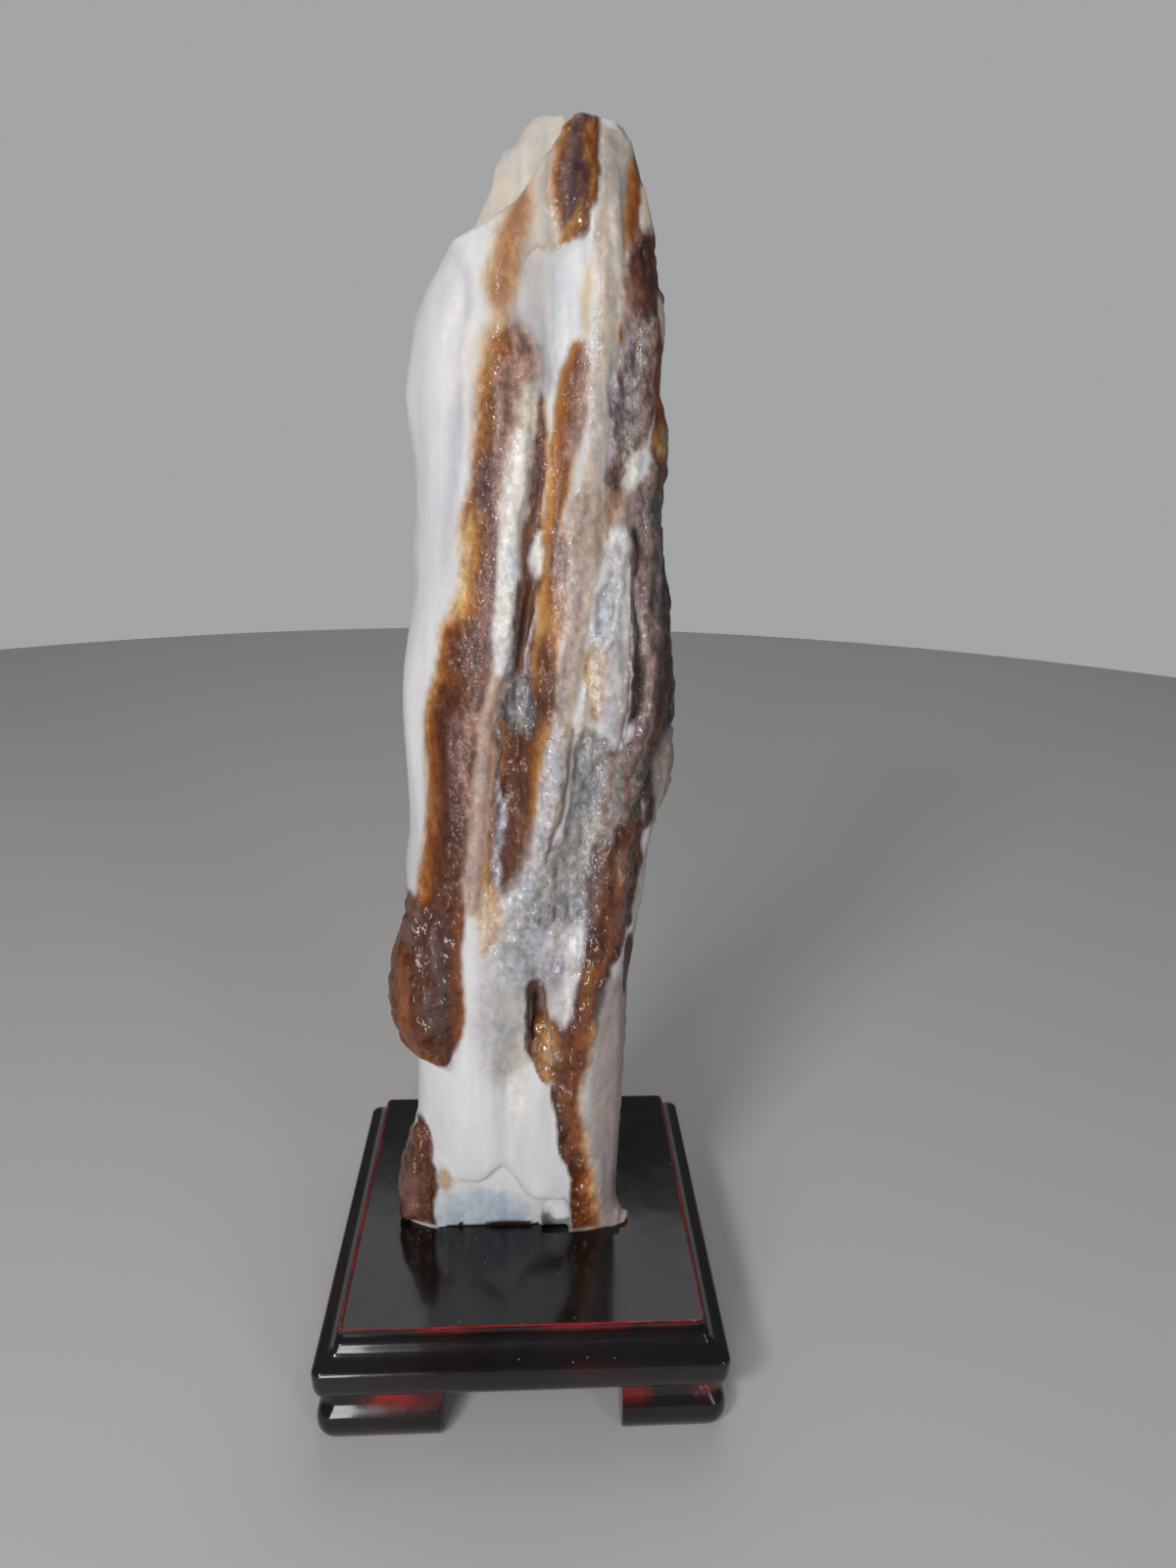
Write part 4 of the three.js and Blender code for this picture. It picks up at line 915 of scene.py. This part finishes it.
def rub_faces(solid, low, high):
    """Let the faces between two heights stray inward a little, as hand rubbing leaves them."""
    spots = points_of(solid.data)
    stray = WAVE * 0.5 * (clouds((17, 17, 5), 31, spots) - 1.0) * between(spots[:, 2], low, high)
    reach = np.abs(spots[:, :2]).max(axis=1)
    spots[:, :2] *= (1.0 + stray / reach)[:, None]
    move_points(solid.data, spots)


def shade_by_angle(made):
    """Smooth shading with crisp arrises."""
    shape = bmesh.new()
    shape.from_mesh(made)
    for face in shape.faces:
        face.smooth = True
    for edge in shape.edges:
        edge.smooth = len(edge.link_faces) == 2 and edge.calc_face_angle() < CREASE
    shape.to_mesh(made)
    shape.free()
    made.update()


def socket_outline(made):
    """The edge of the socket's floor in the plain board, anticlockwise, in mm."""
    plain = bmesh.new()
    plain.from_mesh(made)
    bmesh.ops.remove_doubles(plain, verts=plain.verts, dist=1e-6)
    beside = {}
    for edge in plain.edges:
        on_floor = all(abs(vertex.co.z * 1000.0 - SOCKET_FLOOR) < 0.01 for vertex in edge.verts)
        if on_floor and any(abs(face.normal.z) < 0.5 for face in edge.link_faces):
            first, last = edge.verts
            beside.setdefault(first, []).append(last)
            beside.setdefault(last, []).append(first)
    corner = next(iter(beside))
    walked = []
    while corner is not None:
        walked.append(corner)
        corner = next((other for other in beside[corner] if other not in walked), None)
    outline = np.array([vertex.co[:2] for vertex in walked]) * 1000.0
    plain.free()
    after = np.roll(outline, -1, 0)
    area = np.sum(outline[:, 0] * after[:, 1] - after[:, 0] * outline[:, 1])
    return outline if area > 0 else outline[::-1]


rings = []
for run, steps in ((BEAD, 15), (COVE, 17), (LIP, 9)):
    for height, inset, radius in smooth_run(run, steps):
        plan = square_plan(BOARD_HALF - max(inset, 0.0), radius)
        rings.append([(px, py, FEET_TOP + height) for px, py in plan])
rings.append([(px, py, PLATE_TOP) for px, py in square_plan(BOARD_HALF - TOP_INSET, TOP_RADIUS)])
board = solid_of_rings("lacquered_board", rings)
rub_faces(board, FEET_TOP - 1.0, PLATE_TOP - 0.1)

outline = socket_outline(frame["nodes"]["stand_board"].data)
along = np.roll(outline, -1, 0) - np.roll(outline, 1, 0)
outward = np.stack([along[:, 1], -along[:, 0]], 1) / np.linalg.norm(along, axis=1)[:, None]
rings = []
for height, spread in SOCKET_WALL:
    rings.append([(px, py, height) for px, py in outline + spread * outward])
carver = solid_of_rings("carver", rings)
carve = board.modifiers.new("carve", "BOOLEAN")
carve.operation = "DIFFERENCE"
carve.solver = "EXACT"
carve.object = carver
shade_by_angle(settled(board))
bpy.data.objects.remove(carver)

# Glossy black lacquer over dark red; the red shows by the attribute, partly worn through and partly
# painted highlight where light falls on the lacquer, with a brighter red painted along the top arris and
# in the feet's hollows. A patchy grey painted reflection lies over it, and knocks and dust lie mostly
# along the arrises and corners.
BLACK = shade(16, 10, 11)
DARK_RED = shade(132, 14, 22)
BRIGHT_RED = shade(188, 34, 34)
BARE_WOOD = shade(128, 108, 88)
PAINTED_REFLECTION_GREY = shade(96, 100, 104)
DUST = shade(128, 124, 120)

lacquer, tree, shader = new_material("lacquer")
red_at = attribute(tree, "red")
worn_at = attribute(tree, "worn")
worn_and_lit_red = times(tree, red_at, ramp(tree, noise(tree, 130.0, 3.0, 0.6), [(0.35, 0.35), (0.62, 1.0)]))
# Painted highlight: brighter red along the top arris and in the feet's hollows.
bright = times(tree, ramp(tree, red_at, [(0.72, 0.0), (0.98, 1.0)]),
               ramp(tree, noise(tree, 60.0, 3.0, 0.6), [(0.36, 0.15), (0.56, 0.9)]))
chips = times(tree, ramp(tree, noise(tree, 520.0, 4.0, 0.7), [(0.54, 0.0), (0.60, 1.0)]), worn_at)
# Painted reflection: a patchy grey over the lacquer.
painted_reflection = ramp(tree, noise(tree, 34.0, 3.0, 0.55), [(0.42, 0.0), (0.74, 0.07)])
grit = times(tree, sums(tree, "LESS_THAN", cells(tree, 330.0, "Distance"), 0.075),
             ramp(tree, cells(tree, 330.0, "Color"), [(0.60, 0.0), (0.64, 1.0)]))
colour = BLACK
for amount, tone in (
    (worn_and_lit_red, DARK_RED),
    (bright, BRIGHT_RED),
    (chips, BARE_WOOD),
    (painted_reflection, PAINTED_REFLECTION_GREY),
    (times(tree, grit, 0.75), DUST),
):
    colour = mix(tree, amount, colour, tone)
marks = larger(tree, chips, grit)
rough = scaled(tree, noise(tree, 45.0, 4.0, 0.6), 0.26, 0.02)
dress(tree, shader, {
    "Base Color": colour,
    "Roughness": larger(tree, rough, times(tree, marks, 0.7)),
    "IOR": 1.45,
    "Coat Weight": 0.3,
    "Coat Roughness": 0.06,
    "Normal": bumps(
        tree,
        (noise(tree, 55.0, 2.0, 0.5), 0.10, 0.0012),
        (noise(tree, 900.0, 2.0, 0.5, (1.0, 0.06, 1.0)), 0.05, 0.0002),
        (marks, 0.5, 0.0001),
    ),
})


def finish_lacquer(solid, node, red_by_height, base):
    """Lay the red and the wear on a stand piece, give it the lacquer and its place."""
    made = solid.data
    spots = points_of(made)
    reach, to_middle = np.abs(spots[:, :2]).max(axis=1), np.abs(spots[:, :2]).min(axis=1)
    heights, amounts = np.transpose(red_by_height)
    red = np.interp(spots[:, 2], heights + base, amounts)
    red = np.where(reach > BOARD_HALF - RED_INSET, red, 0.0)
    patchy = red * smooth_step(-0.05, 0.35, clouds((9, 9, 14), 67, spots))
    full = red > 0.9
    red = np.where(full, red, patchy)
    at_corner = smooth_step(8.0, 1.0, reach - to_middle) * (red > 0.2)
    record(made, "red", red)
    record(made, "worn", 0.9 * at_corner + 0.15 * full)
    made.materials.clear()
    made.materials.append(lacquer)
    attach(solid, "root")
    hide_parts(node)


finish_lacquer(board, "stand_board", BOARD_RED, FEET_TOP)

# ---------------------------------------------------------------- four feet
# L-shaped corner brackets of the same wood, glued under the board: hollow under the bead
# and swelling below, sawn straight across at their ends, with the same lacquer.

FOOT_WIDTH = 11.0           # width of each arm of the L, mm
EASE = 0.5                  # small flat on the sawn ends' arrises
FACE_STEPS = 5              # faces along each outer side
SWELL_RINGS = 30            # rings of points from the table up
# Side of a foot: height, distance in from the widest line, corner radius. Then how much
# red shows, by height.
SWELL = [(0.0, 2.6, 2.9), (0.35, 1.9, 3.1), (1.2, 1.2, 3.4), (3.4, 0.3, 3.8), (6.0, 0.1, 4.0),
         (8.2, 0.6, 3.8), (10.0, 1.9, 3.4), (11.8, 2.5, 3.0), (13.2, 2.4, 3.0), (14.5, 2.0, 3.0)]
# The red in the feet's hollows is partly painted highlight where light falls on the lacquer.
FOOT_RED = [(0.0, 0.2), (1.0, 0.04), (8.6, 0.04), (10.2, 0.7), (13.6, 0.88), (14.5, 0.5)]


def foot_plan(inset, radius, length, run):
    """Plan of a foot from its corner, in from the board's two widest lines. Its length is
    along the front or back and its run along the side."""
    side_end, rear_end = length - EASE, run - EASE
    turn = inset + radius
    plan = [(side_end, inset), (length, inset + EASE), (length, FOOT_WIDTH - EASE),
            (side_end, FOOT_WIDTH), (FOOT_WIDTH, FOOT_WIDTH), (FOOT_WIDTH, rear_end),
            (FOOT_WIDTH - EASE, run), (inset + EASE, run), (inset, rear_end)]
    shares = [step / FACE_STEPS for step in range(1, FACE_STEPS)]
    plan += [(inset, rear_end + (radius - rear_end) * share) for share in shares]
    for step in range(CORNER_STEPS + 1):
        angle = math.pi + math.pi / 2.0 * step / CORNER_STEPS
        plan.append((turn + radius * math.cos(angle), turn + radius * math.sin(angle)))
    return plan + [(turn + (side_end - turn) * share, inset) for share in shares]


# Each foot reaches from its corner of the board as far as the plain one does.
for name in ("foot_front_left", "foot_front_right", "foot_rear_left", "foot_rear_right"):
    low, high = box_of(name)
    side_x, side_y = np.sign(low + high)[:2]
    length, run = BOARD_HALF - np.minimum(abs(low), abs(high))[:2]
    rings = []
    for height, inset, radius in smooth_run(SWELL, SWELL_RINGS):
        plan = foot_plan(inset, radius, length, run)
        ring = [(side_x * (BOARD_HALF - px), side_y * (BOARD_HALF - py), height) for px, py in plan]
        rings.append(ring if side_x * side_y > 0 else ring[::-1])
    foot = solid_of_rings("lacquered_" + name, rings)
    rub_faces(foot, 0.2, FEET_TOP - 0.2)
    shade_by_angle(foot.data)
    finish_lacquer(foot, name, FOOT_RED, 0.0)

# ---------------------------------------------------------------- floor, lights, camera
# A plain pale table top, soft studio lights and a camera close above the front of the
# stand. The tall strip in front draws the long soft glints on the wet stone and the beads.

FLOOR_RADIUS = 1.1          # metres
FLOOR_EDGES = 96
CAMERA_PLACE = (0.0016, -0.2299, 0.2329)
# How far the camera is turned to the right, tipped down and rolled.
YAW, PITCH, ROLL = math.radians(3.49), math.radians(18.89), math.radians(-1.25)

floor_mesh = bpy.data.meshes.new("floor")
turns = np.linspace(0.0, 2.0 * math.pi, FLOOR_EDGES, endpoint=False)
corners = [(FLOOR_RADIUS * math.cos(turn), FLOOR_RADIUS * math.sin(turn), 0.0) for turn in turns]
floor_mesh.from_pydata(corners, [], [tuple(range(FLOOR_EDGES))])
floor = placed("floor", floor_mesh)
floor_material, tree, shader = new_material("floor")
dress(tree, shader, {"Base Color": (0.66, 0.65, 0.635), "Roughness": 0.85})
floor_mesh.materials.append(floor_material)

world = bpy.data.worlds.new("studio")
bpy.context.scene.world = world
world.use_nodes = True
seen = world.node_tree.nodes.new("ShaderNodeLightPath").outputs["Is Camera Ray"]
dress(world.node_tree, world.node_tree.nodes["Background"], {
    "Color": (0.84, 0.85, 0.87),
    "Strength": scaled(world.node_tree, seen, 0.30, 0.14),
})
bpy.context.scene.view_settings.view_transform = "Standard"


def soft_light(name, place, target, width, height, power):
    """A rectangular light that faces its target, with sizes in m and power in W."""
    data = bpy.data.lights.new(name, "AREA")
    data.shape = "RECTANGLE"
    data.size = width
    data.size_y = height
    data.energy = power
    light = placed(name, data)
    light.location = place
    light.rotation_euler = (Vector(target) - Vector(place)).to_track_quat("-Z", "Y").to_euler()


soft_light("key", (-0.36, -0.58, 0.60), (0, 0, 0.17), 0.16, 0.10, 2.15)
soft_light("strip", (-0.26, -0.80, 0.20), (0, 0, 0.12), 0.20, 0.46, 3.0)
soft_light("fill", (0.40, -0.62, 0.30), (0, 0, 0.15), 0.10, 0.40, 0.7)
soft_light("top", (0.1, 0.9, 1.6), (0, 0.2, 0.1), 1.2, 1.2, 4.6)

camera_data = bpy.data.cameras.new("camera")
camera_data.sensor_width = 36.0
camera_data.lens = 22.62
camera_data.clip_start = 0.01
camera = placed("camera", camera_data)
forward = Vector((math.sin(YAW) * math.cos(PITCH), math.cos(YAW) * math.cos(PITCH), -math.sin(PITCH)))
level = Vector((math.cos(YAW), -math.sin(YAW), 0.0))
down = forward.cross(level)
right = math.cos(ROLL) * level + math.sin(ROLL) * down
down = -math.sin(ROLL) * level + math.cos(ROLL) * down
axes = Matrix((right, -down, -forward)).transposed().to_4x4()
camera.matrix_world = Matrix.Translation(CAMERA_PLACE) @ axes
bpy.context.scene.camera = camera
